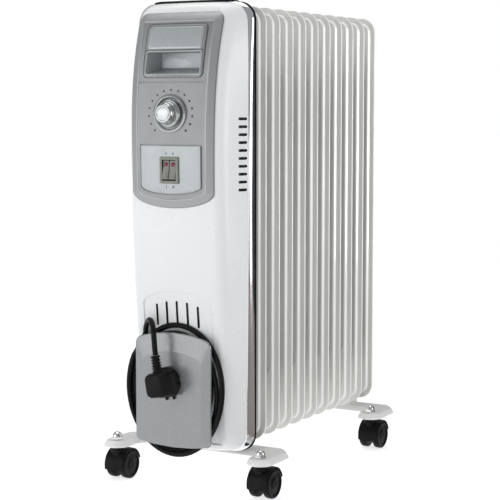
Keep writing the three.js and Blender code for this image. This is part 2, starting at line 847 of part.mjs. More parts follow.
function bracketSet(label, axisY) {
  const group = new THREE.Group();
  group.add(bracket(`${label}_bracket`, axisY));
  group.add(clampBolt(`${label}_clamp_bolt`, axisY));
  for (const [side, x] of [['left', -clampHalfWidth], ['right', clampHalfWidth]]) {
    group.add(wingNut(`${label}_wing_nut_${side}`, x, axisY + clampOffset));
  }
  return group;
}

// ---------------------------------------------------------------- castors
// A wheel stands on one of its flats.
const wheelCentreZ = wheelRadius * Math.cos(Math.PI / wheelSides);
const axleRadius = 2.8;

function turnedAlongX(profile, sides) {
  const points = profile.map(([radius, x]) => new THREE.Vector2(radius, x));
  const geometry = new THREE.LatheGeometry(points, sides);
  geometry.rotateY(Math.PI / sides);
  geometry.rotateZ(90 * degree);
  return toSolid(geometry);
}

function wheel() {
  const half = wheelWidth / 2;
  const bore = axleRadius + 0.4;
  return turnedAlongX([
    [bore, -half], [wheelRadius, -half], [wheelRadius, half], [bore, half], [bore, -half],
  ], wheelSides);
}

function castorBody() {
  const hoodInner = wheelRadius + 0.9;
  const hoodOuter = wheelRadius + 2.7;
  const hoodHalf = wheelOffset + wheelWidth / 2 - 0.4;
  const hood = extrude([
    ...arc(castorTrail, wheelCentreZ, hoodOuter, hoodOuter, 15, 195, 10),
    ...arc(castorTrail, wheelCentreZ, hoodInner, hoodInner, 195, 15, 10),
  ], 'x', -hoodHalf, hoodHalf);
  const web = rod('x', castorTrail, wheelCentreZ, hoodInner + 0.5, -2.4, 2.4, 18);
  const lowerGap = box(-10, 10, -40, 60, -10, 9);
  const column = box(-4.9, 4.9, -5.5, 5.5, 21, 40);
  const collar = rod('z', 0, 0, 8, 39.3, 45, 14);
  const axle = rod('x', castorTrail, wheelCentreZ, axleRadius, -hoodHalf, hoodHalf, 12);
  const pinBore = rod('z', 0, 0, stemRadius + 0.5, stemLowZ - 1, 50, 12);
  return cut(join(hood, cut(web, lowerGap), column, collar, axle), pinBore);
}

const stemRadius = 2.8;
const stemLowZ = 24;

// The castor's stem with its hexagon and domed top, fixed in the bracket.
function castorBolt(name) {
  const stem = rod('z', 0, 0, stemRadius, stemLowZ, bracketTop + 1, 12);
  const hexagon = rod('z', 0, 0, 8, bracketTop + gap, bracketTop + 4, 6);
  const dome = new THREE.LatheGeometry([
    new THREE.Vector2(0, 0), new THREE.Vector2(6.4, 0), new THREE.Vector2(6.4, 2),
    new THREE.Vector2(5.6, 4.6), new THREE.Vector2(3.4, 6.6), new THREE.Vector2(0, 7.4),
  ], 12);
  dome.rotateX(90 * degree);
  dome.translate(0, 0, bracketTop + 3.5);
  return piece(name, join(stem, hexagon, toSolid(dome)), 'chrome');
}

function castor(corner, x, y, bodySolid, wheelSolid) {
  const group = new THREE.Group();
  group.add(castorBolt(`castor_bolt_${corner}`));
  group.add(piece(`castor_body_${corner}`, bodySolid, 'black'));
  for (const [side, offset] of [['left', -wheelOffset], ['right', wheelOffset]]) {
    const mesh = piece(`castor_wheel_${corner}_${side}`, wheelSolid, 'black');
    mesh.position.set(offset, castorTrail, wheelCentreZ);
    group.add(mesh);
  }
  group.position.set(x, y, 0);
  return group;
}

function castors() {
  const group = new THREE.Group();
  const bodySolid = castorBody();
  const wheelSolid = wheel();
  const corners = [
    ['front_left', -castorX, 0], ['front_right', castorX, 0],
    ['rear_left', -castorX, rearCastorY], ['rear_right', castorX, rearCastorY],
  ];
  for (const [corner, x, y] of corners) {
    group.add(castor(corner, x, y, bodySolid, wheelSolid));
  }
  return group;
}

// ---------------------------------------------------------------- assembly
const heater = new THREE.Group();
heater.add(
  fins(), fillerPlug(), heatingElement(),
  frontHousing(), chromeTrim(), rearFrame(), heatShield(), topHandle(),
  controlPanel(), handleCup(), blankPlate(), switchPlate(), dialRing(), knob(),
  thermostat(), switchBody(), rocker('rocker_left', -1), rocker('rocker_right', 1), innerParts(),
  winderCover(), winderHub(), cordGland(), cordCoil(), cordTail(), plug(),
  bracketSet('front', 0), bracketSet('rear', rearCastorY), castors(),
);

// The knob's face and the last header cap are the ends of the heater.
const originY = (knobFaceY + lastFinY + lastCapDepth + 4) / 2;
heater.position.y = -originY;

export default heater;
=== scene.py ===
"""Looks of an oil filled radiator heater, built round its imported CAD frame.

Shapes are worked out in millimetres. Their (x, s, z) has s measured backwards from
the front castors' axis, and place() turns it into the frame's metres.
"""
import json
import math

import bmesh
import bpy
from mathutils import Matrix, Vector


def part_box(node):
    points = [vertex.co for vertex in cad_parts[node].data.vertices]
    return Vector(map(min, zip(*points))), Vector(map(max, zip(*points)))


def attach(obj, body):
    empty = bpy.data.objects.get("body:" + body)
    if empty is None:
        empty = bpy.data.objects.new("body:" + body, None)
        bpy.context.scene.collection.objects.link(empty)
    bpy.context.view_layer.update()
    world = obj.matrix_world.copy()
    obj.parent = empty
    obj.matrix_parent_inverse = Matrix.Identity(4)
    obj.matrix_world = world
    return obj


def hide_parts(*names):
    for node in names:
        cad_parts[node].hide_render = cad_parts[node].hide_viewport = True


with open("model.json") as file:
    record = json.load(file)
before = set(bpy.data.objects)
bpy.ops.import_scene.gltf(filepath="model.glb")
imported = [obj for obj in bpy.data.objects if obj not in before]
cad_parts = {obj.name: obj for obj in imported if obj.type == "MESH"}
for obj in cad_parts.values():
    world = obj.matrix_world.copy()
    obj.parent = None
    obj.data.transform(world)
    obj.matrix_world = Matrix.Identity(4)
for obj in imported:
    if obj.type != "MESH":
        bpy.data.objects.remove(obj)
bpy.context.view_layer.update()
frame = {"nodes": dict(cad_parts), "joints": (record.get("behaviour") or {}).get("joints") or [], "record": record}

MM = 0.001


def middle_of(node):
    low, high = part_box(node)
    return (low + high) / 2


# The front castors' axis along the frame's Y, in millimetres.
axis_y = middle_of("castor_bolt_front_left").y / MM


def place(x, s, z):
    """A point in millimetres from the front castors' axis, as metres in the frame."""
    return Vector((x * MM, (s + axis_y) * MM, z * MM))


def depth_of(y):
    """The s of a frame coordinate in metres: the reverse of place() along that axis."""
    return y / MM - axis_y


def linked(name, data):
    """A new object in the scene."""
    made = bpy.data.objects.new(name, data)
    bpy.context.scene.collection.objects.link(made)
    return made


# ---------------------------------------------------------------- camera, light, floor
CAMERA_PLACE = (1033, -1666.8, 503.8)
CAMERA_LENS = 109.3
CAMERA_DIP = 5.484
CAMERA_HEADING = 29.371


def make_camera():
    camera = linked("camera", bpy.data.cameras.new("camera"))
    camera.data.sensor_width = 36
    camera.data.lens = CAMERA_LENS
    camera.location = place(*CAMERA_PLACE)
    camera.rotation_euler = (math.radians(90 - CAMERA_DIP), 0, math.radians(CAMERA_HEADING))
    bpy.context.scene.camera = camera


def make_light(name, location, target, size, power):
    light = bpy.data.lights.new(name, "AREA")
    light.shape = "RECTANGLE"
    light.size, light.size_y = size
    light.energy = power
    lamp = linked(name, light)
    lamp.location = location
    direction = Vector(target) - Vector(location)
    lamp.rotation_euler = direction.to_track_quat("-Z", "Y").to_euler()
    return lamp


def make_world():
    """A soft grey surround that the camera itself sees as a white backdrop."""
    world = bpy.data.worlds.new("studio")
    world.use_nodes = True
    nodes, links = world.node_tree.nodes, world.node_tree.links
    soft = nodes["Background"]
    soft.inputs["Color"].default_value = (0.97, 0.985, 1, 1)
    soft.inputs["Strength"].default_value = 0.35
    backdrop = nodes.new("ShaderNodeBackground")
    backdrop.inputs["Color"].default_value = (1, 1, 1, 1)
    backdrop.inputs["Strength"].default_value = 1
    mix = nodes.new("ShaderNodeMixShader")
    links.new(nodes.new("ShaderNodeLightPath").outputs["Is Camera Ray"], mix.inputs["Fac"])
    links.new(soft.outputs["Background"], mix.inputs[1])
    links.new(backdrop.outputs["Background"], mix.inputs[2])
    links.new(mix.outputs["Shader"], nodes["World Output"].inputs["Surface"])
    bpy.context.scene.world = world
    bpy.context.scene.view_settings.view_transform = "Standard"


make_camera()
make_world()
strip_target, strip_size = (0, 0.05, 0.4), (0.5, 1.2)
overhead = make_light("overhead", (-0.3, 0.1, 2.6), (0, 0, 0.3), (2, 2), 30)
make_light("key", (-1.4, -2.5, 0.85), (0, 0, 0.35), (2.6, 1.6), 21)
make_light("strip", (2.15, 0.26, 0.62), strip_target, strip_size, 7)
fin_strip = make_light("fin_strip", (2.12, 0.26, 0.62), strip_target, strip_size, 22)

# ---------------------------------------------------------------- materials
# Noise seldom leaves this range, so colours and roughness are spread over it.
NOISE_LOW, NOISE_HIGH = 0.3, 0.7


def shade(colour, factor):
    return tuple(channel * factor for channel in colour)


class Paint:
    """A node material that starts from the object's own coordinates."""

    def __init__(self, name, metallic=0, **sockets):
        self.material = bpy.data.materials.new(name)
        self.material.use_nodes = True
        self.nodes = self.material.node_tree.nodes
        self.links = self.material.node_tree.links
        self.shader = self.nodes["Principled BSDF"]
        self.shader.inputs["Metallic"].default_value = metallic
        for socket, value in sockets.items():
            self.shader.inputs[socket.replace("_", " ")].default_value = value
        self.coordinates = self.nodes.new("ShaderNodeTexCoord").outputs["Object"]

    def scaled(self, stretch):
        """The coordinates stretched differently along each axis."""
        mapping = self.nodes.new("ShaderNodeMapping")
        mapping.inputs["Scale"].default_value = stretch
        self.links.new(self.coordinates, mapping.inputs["Vector"])
        return mapping.outputs["Vector"]

    def noise(self, scale, detail=3, stretch=(1, 1, 1)):
        noise = self.nodes.new("ShaderNodeTexNoise")
        noise.inputs["Scale"].default_value = scale
        noise.inputs["Detail"].default_value = detail
        self.links.new(self.scaled(stretch), noise.inputs["Vector"])
        return noise.outputs["Fac"]

    def flakes(self, scale):
        cells = self.nodes.new("ShaderNodeTexVoronoi")
        cells.inputs["Scale"].default_value = scale
        self.links.new(self.coordinates, cells.inputs["Vector"])
        separate = self.nodes.new("ShaderNodeSeparateColor")
        self.links.new(cells.outputs["Color"], separate.inputs["Color"])
        return separate.outputs["Red"]

    def spread(self, value, low, high):
        """A texture's usual range spread over low to high."""
        spread = self.nodes.new("ShaderNodeMapRange")
        spread.inputs["From Min"].default_value = NOISE_LOW
        spread.inputs["From Max"].default_value = NOISE_HIGH
        spread.inputs["To Min"].default_value = low
        spread.inputs["To Max"].default_value = high
        self.links.new(value, spread.inputs["Value"])
        return spread.outputs["Result"]

    def colour(self, value, first, second):
        ramp = self.nodes.new("ShaderNodeValToRGB")
        ends = zip(ramp.color_ramp.elements, (NOISE_LOW, NOISE_HIGH), (first, second))
        for element, position, tone in ends:
            element.position = position
            element.color = (*tone, 1)
        self.links.new(value, ramp.inputs["Fac"])
        self.links.new(ramp.outputs["Color"], self.shader.inputs["Base Color"])

    def mottle(self, value, base, share):
        """The base colour, up to that share darker and lighter."""
        self.colour(value, shade(base, 1 - share), shade(base, 1 + share))

    def roughness(self, value, low, high):
        self.links.new(self.spread(value, low, high), self.shader.inputs["Roughness"])

    def bump(self, value, depth_mm, strength=1, under=None):
        bump = self.nodes.new("ShaderNodeBump")
        bump.inputs["Strength"].default_value = strength
        bump.inputs["Distance"].default_value = depth_mm * MM
        self.links.new(value, bump.inputs["Height"])
        if under is not None:
            self.links.new(under, bump.inputs["Normal"])
        self.links.new(bump.outputs["Normal"], self.shader.inputs["Normal"])
        return bump.outputs["Normal"]


def fin_enamel():
    """Oven-baked enamel: orange peel over slightly wavy pressed sheet."""
    paint = Paint("fin_enamel", Coat_Weight=0.9, Coat_Roughness=0.1)
    paint.mottle(paint.noise(9), (0.72, 0.725, 0.70), 0.03)
    paint.roughness(paint.noise(60), 0.36, 0.46)
    waves = paint.bump(paint.noise(14, 1), 0.35, 0.35)
    paint.bump(paint.noise(700, 2), 0.05, 0.3, waves)
    return paint.material


def housing_white():
    """Glossy white moulding with a faint polish haze and sink marks."""
    paint = Paint("housing_white", Coat_Weight=0.25, Coat_Roughness=0.15)
    paint.mottle(paint.noise(6), (0.83, 0.84, 0.845), 0.015)
    paint.roughness(paint.noise(35), 0.26, 0.36)
    sinks = paint.bump(paint.noise(18, 1), 0.2, 0.25)
    paint.bump(paint.noise(1400, 2), 0.02, 0.25, sinks)
    return paint.material


def bracket_enamel():
    paint = Paint("bracket_enamel", Coat_Weight=0.15, Coat_Roughness=0.2)
    paint.mottle(paint.noise(20), (0.90, 0.90, 0.89), 0.03)
    paint.roughness(paint.noise(80), 0.32, 0.44)
    paint.bump(paint.noise(600, 2), 0.06, 0.35)
    return paint.material


def chrome(name, base, low=0.05, high=0.12):
    """Plated metal with wiping haze and shallow waves from polishing."""
    paint = Paint(name, metallic=1)
    paint.colour(paint.noise(25), shade(base, 0.97), base)
    paint.roughness(paint.noise(45, 4), low, high)
    paint.bump(paint.noise(40, 1), 0.08, 0.15)
    return paint.material


def zinc_steel():
    """Zinc plate with drawn lines and cloudy passivation."""
    paint = Paint("zinc_steel", metallic=0.95)
    paint.colour(paint.noise(120, 4), (0.42, 0.43, 0.44), (0.60, 0.60, 0.59))
    paint.roughness(paint.noise(90, 3), 0.28, 0.48)
    paint.bump(paint.noise(300, 2, (1, 1, 0.08)), 0.06, 0.4)
    return paint.material


def black_plastic(name, grain=900):
    """Moulded nylon with spark-eroded grain and dust in it."""
    paint = Paint(name, Specular_IOR_Level=0.12)
    paint.colour(paint.noise(70, 4), (0.004, 0.004, 0.005), (0.009, 0.009, 0.01))
    paint.roughness(paint.noise(120, 3), 0.34, 0.5)
    paint.bump(paint.noise(grain, 2), 0.06, 0.35)
    return paint.material


def cord_rubber():
    """PVC sheath: long faint draw lines and a soft bloom."""
    paint = Paint("cord_rubber", Specular_IOR_Level=0.13)
    paint.colour(paint.noise(50, 4), (0.004, 0.004, 0.005), (0.010, 0.0095, 0.010))
    paint.roughness(paint.noise(160, 3), 0.36, 0.5)
    paint.bump(paint.noise(500, 2), 0.05, 0.35)
    return paint.material


def metallic_plastic(name, base, metallic, low, high):
    """Plastic filled with metal flake, satin moulded."""
    paint = Paint(name, metallic=metallic)
    paint.mottle(paint.flakes(3200), base, 0.03)
    paint.roughness(paint.noise(60, 3), low, high)
    paint.bump(paint.noise(1500, 2), 0.01, 0.15)
    return paint.material


def switch_olive():
    paint = Paint("switch_olive", Coat_Weight=0.3, Coat_Roughness=0.12)
    paint.colour(paint.noise(90), (0.17, 0.175, 0.15), (0.21, 0.215, 0.185))
    paint.roughness(paint.noise(150), 0.24, 0.36)
    paint.bump(paint.noise(1200, 2), 0.02, 0.3)
    return paint.material


def lamp_red():
    """Unlit neon lamp under a clear red dome."""
    paint = Paint("lamp_red", Coat_Weight=0.2, Coat_Roughness=0.04)
    paint.colour(paint.noise(500), (0.16, 0.001, 0.012), (0.24, 0.002, 0.022))
    paint.roughness(paint.noise(300), 0.1, 0.2)
    paint.bump(paint.noise(800), 0.02, 0.3)
    return paint.material


def printed_ink():
    paint = Paint("printed_ink")
    paint.colour(paint.noise(900), (0.018, 0.019, 0.021), (0.05, 0.051, 0.053))
    paint.roughness(paint.noise(400), 0.4, 0.55)
    paint.bump(paint.noise(2000), 0.01, 0.3)
    return paint.material


# Near-black painted shade for hollows where shade falls: the housing's inner side and vent walls, and the switch
# pocket.
def painted_shade_inside():
    paint = Paint("painted_shade_inside")
    paint.colour(paint.noise(60), (0.006, 0.006, 0.007), (0.012, 0.012, 0.013))
    paint.roughness(paint.noise(80), 0.7, 0.85)
    paint.bump(paint.noise(400), 0.05, 0.3)
    return paint.material


def cream_insulator():
    paint = Paint("cream_insulator")
    paint.colour(paint.noise(80), (0.55, 0.51, 0.42), (0.62, 0.58, 0.49))
    paint.roughness(paint.noise(200), 0.6, 0.75)
    paint.bump(paint.noise(700), 0.05, 0.4)
    return paint.material


look = {
    "fin_enamel": fin_enamel(),
    "bracket_enamel": bracket_enamel(),
    "housing_white": housing_white(),
    "chrome_trim": chrome("trim_chrome", (0.84, 0.85, 0.87)),
    "chrome_bolt": chrome("bolt_chrome", (0.78, 0.78, 0.78), 0.10, 0.22),
    "steel": zinc_steel(),
    "black_plastic": black_plastic("black_plastic"),
    "castor_black": black_plastic("castor_nylon", 600),
    "cord_black": cord_rubber(),
    "panel_grey": metallic_plastic("panel_grey", (0.27, 0.275, 0.28), 0.35, 0.28, 0.38),
    # A darker and a lighter copy of the panel grey: painted shade and a painted highlight on the panel's edge.
    "panel_rim_painted_shade": metallic_plastic("panel_rim_painted_shade", (0.235, 0.24, 0.245), 0.4, 0.30, 0.42),
    "panel_ridge_painted_highlight": metallic_plastic("panel_ridge_painted_highlight", (0.36, 0.365, 0.37), 0.4, 0.28, 0.38),
    "winder_grey": metallic_plastic("winder_grey", (0.30, 0.31, 0.315), 0.45, 0.22, 0.32),
    "silver_plastic": metallic_plastic("silver_plastic", (0.40, 0.425, 0.435), 0.35, 0.26, 0.38),
    "knob_metal": metallic_plastic("knob_metal", (0.44, 0.465, 0.46), 0.9, 0.16, 0.26),
    "switch_grey": switch_olive(),
    "lamp_red": lamp_red(),
    "ink": printed_ink(),
    "dark": painted_shade_inside(),
    "insulator": cream_insulator(),
}

for entry in frame["record"]["subparts"]:
    cad_mesh = frame["nodes"][entry["node"]].data
    cad_mesh.materials.clear()
    cad_mesh.materials.append(look[entry["material_slot"]])


def make_floor():
    """White paper that glows enough to stay white in its own shadows."""
    bpy.ops.mesh.primitive_plane_add(size=60, location=(0, 0, -0.0005))
    floor = bpy.context.object
    floor.name = "floor"
    paint = Paint("floor_paper")
    paint.colour(paint.noise(2), (0.90, 0.90, 0.90), (0.92, 0.92, 0.92))
    paint.roughness(paint.noise(5), 0.75, 0.85)
    paint.shader.inputs["Emission Color"].default_value = (1, 1, 1, 1)
    paint.shader.inputs["Emission Strength"].default_value = 0.7
    floor.data.materials.append(paint.material)
    return floor


def aim(lamp, objects, state):
    """Gives a lamp's light to these objects only, or keeps it off them."""
    receivers = bpy.data.collections.new(f"{lamp.name}_receivers")
    for item in objects:
        receivers.objects.link(item)
    for member in receivers.collection_objects:
        member.light_linking.link_state = state
    lamp.light_linking.receiver_collection = receivers


def studio_sheet(name, location, scale, darker, lighter, grain):
    """A matt sheet of the studio, which the camera doesn't see."""
    bpy.ops.mesh.primitive_plane_add(size=1, location=location)
    sheet = bpy.context.object
    sheet.name = name
    sheet.scale = scale
    sheet.visible_camera = False
    paint = Paint(f"{name}_cloth")
    paint.colour(paint.noise(grain), darker, lighter)
    paint.roughness(paint.noise(2 * grain), 0.8, 0.9)
    sheet.data.materials.append(paint.material)
    return sheet


def make_flag():
    """A dark board outside the view, for the chrome and the enamel to reflect."""
    flag = studio_sheet("flag", (1.21, 1.07, 0.7), (1.43, 1.4, 1),
                        (0.02, 0.022, 0.03), (0.05, 0.054, 0.07), grain=3)
    flag.rotation_euler = (math.radians(90), 0, math.radians(-41))


def make_mat():
    """A warm grey mat beside the object, which only reflections see."""
    mat = studio_sheet("mat", (4.2, 3.3, 0.001), (8, 8, 1),
                       (0.30, 0.26, 0.24), (0.36, 0.31, 0.29), grain=4)
    mat.visible_diffuse = False
    mat.visible_shadow = False


aim(overhead, [make_floor()], "EXCLUDE")
make_flag()
make_mat()


def piece(name, data, finish, body="heater", stands_for=()):
    """Links a mesh or curve as a piece of the object, riding on a body."""
    made = linked(name, data)
    data.name = name
    data.materials.append(look[finish])
    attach(made, body)
    if stands_for:
        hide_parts(*stands_for)
    return made


# ---------------------------------------------------------------- the lead
CORD = 7
WINDER_Z = 137
# Where the lead leaves the gland's lower end, and how far above it the collar sits.
gland_end = (40, -23.8, 107)
GLAND_RISE = 43

# The free end's route, in millimetres, from the winding over the cover to the plug.
tail_route = [
    (-55.6, -26.2, 190),
    (-49, -23.4, 204.6), (-46.9, -24.9, 213.5), (-42, -28.8, 221.3), (-35.4, -35, 226.2),
    (-28.2, -42, 227), (-21.6, -48.4, 223.6), (-16.7, -53.4, 216.3), (-13.7, -56.6, 206),
    (-11.9, -58, 195), (-10.5, -58.3, 185.4),
]


def catmull(points, parts):
    """A smooth line through the points, each stretch cut into parts."""
    ends = [2 * points[0] - points[1], *points, 2 * points[-1] - points[-2]]
    line = []
    for a, b, c, d in zip(ends, ends[1:], ends[2:], ends[3:]):
        for step in range(parts):
            t = step / parts
            line.append(0.5 * (2 * b + (c - a) * t + (2 * a - 5 * b + 4 * c - d) * t ** 2
                               + (3 * b - a - 3 * c + d) * t ** 3))
    return [*line, points[-1]]


def smooth_step(t):
    t = min(max(t, 0), 1)
    return t * t * (3 - 2 * t)


# Half width of the winding after so many turns. Where it changes layers, on the right,
# it keeps a lead's width from the turn outside it.
turn_widths = [(0, 54.5), (0.5, 54), (0.875, 52.5), (1.25, 57.5), (1.5, 59), (1.875, 60),
               (2.25, 66.5), (2.5, 68.3), (2.875, 69.2), (3.25, 70.6), (3.5, 71.4)]


def width_after(turn):
    for (a, low), (b, high) in zip(turn_widths, turn_widths[1:]):
        if turn <= b:
            return low + (high - low) * smooth_step((turn - a) / (b - a))
    return turn_widths[-1][1]


def winding():
    """The turns on the winder, lying in a back and a front layer by turns."""
    start, first, turned, step = -34, 24, 1254, 6
    back, front = -22.2, -28.6
    taller = 14.5
    points = []
    for i in range(first // step, turned // step + 1):
        angle = math.radians(start - i * step)
        turn = i * step / 360
        across = width_after(turn)
        swing = smooth_step((turn % 2 - 0.75) * 4) - smooth_step((turn % 2 - 1.75) * 4)
        points.append(Vector((across * math.cos(angle), back + (front - back) * swing,
                              WINDER_Z + (across + taller) * math.sin(angle))))
    return points


def cord_line():
    """The whole lead: out of the gland, round the winder and over the cover."""
    start = [Vector(gland_end), Vector((40.2, -23.6, 99)), Vector((39.6, -23, 90.5))]
    turns = winding()
    tail = [Vector(point) for point in tail_route]
    return [*catmull([*start, turns[0]], 4)[:-1], *turns, *catmull(tail, 6)]


def make_cord():
    curve = wire([place(*point) for point in cord_line()], CORD)
    lead = piece("lead", curve, "cord_black", stands_for=["cord_coil", "cord_tail"])


# ---------------------------------------------------------------- outlines
def arc(cx, cy, rx, ry, start, end, steps):
    points = []
    for i in range(steps + 1):
        angle = math.radians(start + (end - start) * i / steps)
        points.append((cx + rx * math.cos(angle), cy + ry * math.sin(angle)))
    return points


def rounded(x0, x1, y0, y1, radius, steps=6):
    """A rounded rectangle as a function of how far it is inset."""
    def outline(inset=0):
        r = max(radius - inset, 0.05)
        a, b, c, d = x0 + inset, x1 - inset, y0 + inset, y1 - inset
        return [*arc(b - r, d - r, r, r, 0, 90, steps), *arc(a + r, d - r, r, r, 90, 180, steps),
                *arc(a + r, c + r, r, r, 180, 270, steps), *arc(b - r, c + r, r, r, 270, 360, steps)]
    return outline


def inset_of(points):
    """A closed outline, counter-clockwise, that can be moved inwards along its normals."""
    def outline(inset=0):
        moved = []
        for i, point in enumerate(points):
            here = Vector(point)
            before = (here - Vector(points[i - 1])).normalized()
            after = (Vector(points[(i + 1) % len(points)]) - here).normalized()
            inward = Vector((-before.y - after.y, before.x + after.x)).normalized()
            share = max(inward.dot(Vector((-after.y, after.x))), 0.5)
            moved.append(tuple(here + inward * inset / share))
        return moved
    return outline


def circle(radius, sides):
    """Points of a circle about the origin."""
    return arc(0, 0, radius, radius, 0, 360 - 360 / sides, sides - 1)


def disc(cx, cy, radius, sides=48):
    def outline(inset=0):
        return arc(cx, cy, radius - inset, radius - inset, 0, 360 - 360 / sides, sides - 1)
    return outline


# ---------------------------------------------------------------- mesh builders
def wire(line, thickness):
    """A round curve of that thickness through the places of a line."""
    curve = bpy.data.curves.new("line", "CURVE")
    curve.dimensions = "3D"
    curve.bevel_depth = thickness / 2 * MM
    curve.bevel_resolution = 5
    curve.use_fill_caps = True
    spline = curve.splines.new("POLY")
    spline.points.add(len(line) - 1)
    for point, spot in zip(spline.points, line):
        point.co = (*spot, 1)
    spline.use_smooth = True
    return curve


def bridge(mesh, first, second):
    """Faces between two closed rings of as many points."""
    for i in range(len(first)):
        j = (i + 1) % len(first)
        mesh.faces.new((first[i], first[j], second[j], second[i]))


class Body:
    """Rings of (u, v, height) points joined into one closed body."""

    def __init__(self):
        self.mesh = bmesh.new()

    def ring(self, points, height):
        return [self.mesh.verts.new((u, v, height)) for u, v in points]

    def chain(self, outline, steps):
        """Rings of one outline at (inset, height) steps, joined in order."""
        rings = [self.ring(outline(inset), height) for inset, height in steps]
        for first, second in zip(rings, rings[1:]):
            bridge(self.mesh, first, second)
        return rings[0], rings[-1]

    def fill(self, rings):
        """A flat face inside the first ring, with the other rings as its holes."""
        if len(rings) == 1:
            self.mesh.faces.new(rings[0])
            return
        edges = []
        for ring in rings:
            for i, vert in enumerate(ring):
                other = ring[(i + 1) % len(ring)]
                edges.append(self.mesh.edges.get((vert, other)) or self.mesh.edges.new((vert, other)))
        bmesh.ops.triangle_fill(self.mesh, use_beauty=True, use_dissolve=False, edges=edges)

    def slice(self, axis, start, end, step):
        """Cuts the flat body at equal steps, so that it can follow a curved base."""
        normal = Vector((1, 0, 0)) if axis == "u" else Vector((0, 1, 0))
        at = start
        while at < end:
            geometry = [*self.mesh.verts, *self.mesh.edges, *self.mesh.faces]
            bmesh.ops.bisect_plane(self.mesh, geom=geometry, dist=1e-5,
                                   plane_co=normal * at, plane_no=normal)
            at += step

    def finish(self, where, crease=32):
        """The mesh, each (u, v, height) moved to where() says."""
        for vert in self.mesh.verts:
            vert.co = where(*vert.co)
        return to_mesh(self.mesh, crease)


def to_mesh(source, crease=32):
    bmesh.ops.recalc_face_normals(source, faces=source.faces[:])
    for face in source.faces:
        face.smooth = True
    data = bpy.data.meshes.new("shape")
    source.to_mesh(data)
    source.free()
    data.set_sharp_from_angle(angle=math.radians(crease))
    return data


def relief(outline, steps, where, top=(), bottom=(), through=(), slices=(), crease=32):
    """A moulded plate. Its edge runs through the (inset, height) steps from the back
    face to the front face. top and bottom are (outline, steps) that rise or sink from
    those faces, and through are holes whose steps run from the front to the back."""
    body = Body()
    back, front = body.chain(outline, steps)
    front_rings, back_rings = [front], [back]
    for shape, levels in top:
        first, last = body.chain(shape, levels)
        front_rings.append(first)
        body.fill([last])
    for shape, levels in bottom:
        first, last = body.chain(shape, levels)
        back_rings.append(first)
        body.fill([last])
    for shape, levels in through:
        first, last = body.chain(shape, levels)
        front_rings.append(first)
        back_rings.append(last)
    body.fill(front_rings)
    body.fill(back_rings)
    for cut in slices:
        body.slice(*cut)
    return body.finish(where, crease)


def loop_body(rings, where=place, crease=32):
    """Rings of (x, s, z) points joined in order, and the last one to the first."""
    mesh = bmesh.new()
    loops = [[mesh.verts.new(where(*point)) for point in ring] for ring in rings]
    for first, second in zip(loops, [*loops[1:], loops[0]]):
        bridge(mesh, first, second)
    return to_mesh(mesh, crease)


def turned(profile, where, sides=48, wave=None, crease=32):
    """A turned body from (radius, along) points, both ends on the axis. where takes
    (across, up, along), and wave(angle, radius, along) may change the radius."""
    mesh = bmesh.new()
    rings = []
    for radius, along in profile[1:-1]:
        ring = []
        for i in range(sides):
            angle = 2 * math.pi * i / sides
            r = wave(angle, radius, along) if wave else radius
            ring.append(mesh.verts.new(where(r * math.cos(angle), r * math.sin(angle), along)))
        rings.append(ring)
    for first, second in zip(rings, rings[1:]):
        bridge(mesh, first, second)
    for ring, (_, along) in ((rings[0], profile[0]), (rings[-1], profile[-1])):
        tip = mesh.verts.new(where(0, 0, along))
        for i in range(sides):
            mesh.faces.new((ring[i], ring[(i + 1) % sides], tip))
    return to_mesh(mesh, crease)


def joined(*meshes):
    """Several meshes as one, for a piece that is made of touching shapes."""
    mesh = bmesh.new()
    for data in meshes:
        mesh.from_mesh(data)
    data = bpy.data.meshes.new("shape")
    mesh.to_mesh(data)
    mesh.free()
    return data


def hexagonal(past):
    """A wave for turned() that gives six flats to every radius past that one."""
    def wave(angle, radius, along):
        if radius < past:
            return radius
        return radius * math.cos(math.pi / 6) / math.cos((angle % (math.pi / 3)) - math.pi / 6)
    return wave


def edge_steps(low, high, round_by):
    """Steps of a plain edge from low to high with its front rounded."""
    steps = [(0, low), (0, high - round_by)]
    for i in range(1, 5):
        angle = math.pi / 2 * i / 4
        steps.append((round_by * (1 - math.cos(angle)), high - round_by * (1 - math.sin(angle))))
    return steps


def facing_front(depth):
    """Maps (x, z, height) to a place that far in front of a plane at that depth."""
    return lambda x, z, height: place(x, depth - height, z)


def upright(x, s, z=0):
    """Maps (across, deep, along) to a place about a point, along being upwards."""
    return lambda across, deep, along: place(x + across, s + deep, z + along)


def lying(x, z, s=0):
    """Maps (across, up, along) to a place about a point, along being backwards."""
    return lambda across, up, along: place(x + across, s + along, z + up)


def on_front(x, z, height):
    """A place that far in front of the housing's curved face."""
    return place(x, front_face(x, z) - height, z)


# ---------------------------------------------------------------- fins
FIN_PITCH = 37
FIN_COUNT = 11
FIRST_FIN = 25.8
LAST_CAP = 12
UPPER_Z, LOWER_Z = 575, 111
fin_outline = rounded(-84, 84, 61, 630, 22, 8)
HALF_GAP = 0.15
MEET = FIN_PITCH / 2 - HALF_GAP


def fin_side(sign, reach):
    """Edge steps of one pressed half from the border's weld to the raised face, and the
    shallow valley and the two headers that it carries."""
    edge = [(0, 0.25), (0.15, 0.8), (0.55, 1.15), (1.2, 1.25), (6.4, 1.25), (6.9, 1.4),
            (7.2, 1.8), (8.5, 4.2), (8.9, 4.7), (9.5, 5)]
    valley = [(0, 5), (0.5, 4.8), (2.2, 2.6), (2.8, 2.3)]
    header = [(0, 5), (1.2, 5.3), (2.1, 6.3), (2.5, 7.8), (2.5, reach - 0.8), (3.1, reach)]

    def signed(steps):
        return [(inset, sign * level) for inset, level in steps]
    shapes = [(rounded(-72.5, 72.5, 145, 543, 9), signed(valley))]
    shapes += [(disc(0, z, 30.5), signed(header)) for z in (UPPER_Z, LOWER_Z)]
    return signed(edge), shapes


def fin_mesh(s, front_reach, rear_reach):
    """One fin: the steps run from the rear face round the welded edge to the front."""
    front, front_shapes = fin_side(1, front_reach)
    rear, rear_shapes = fin_side(-1, rear_reach)
    return relief(fin_outline, [*reversed(rear), *front], facing_front(s),
                  top=front_shapes, bottom=rear_shapes, crease=38)


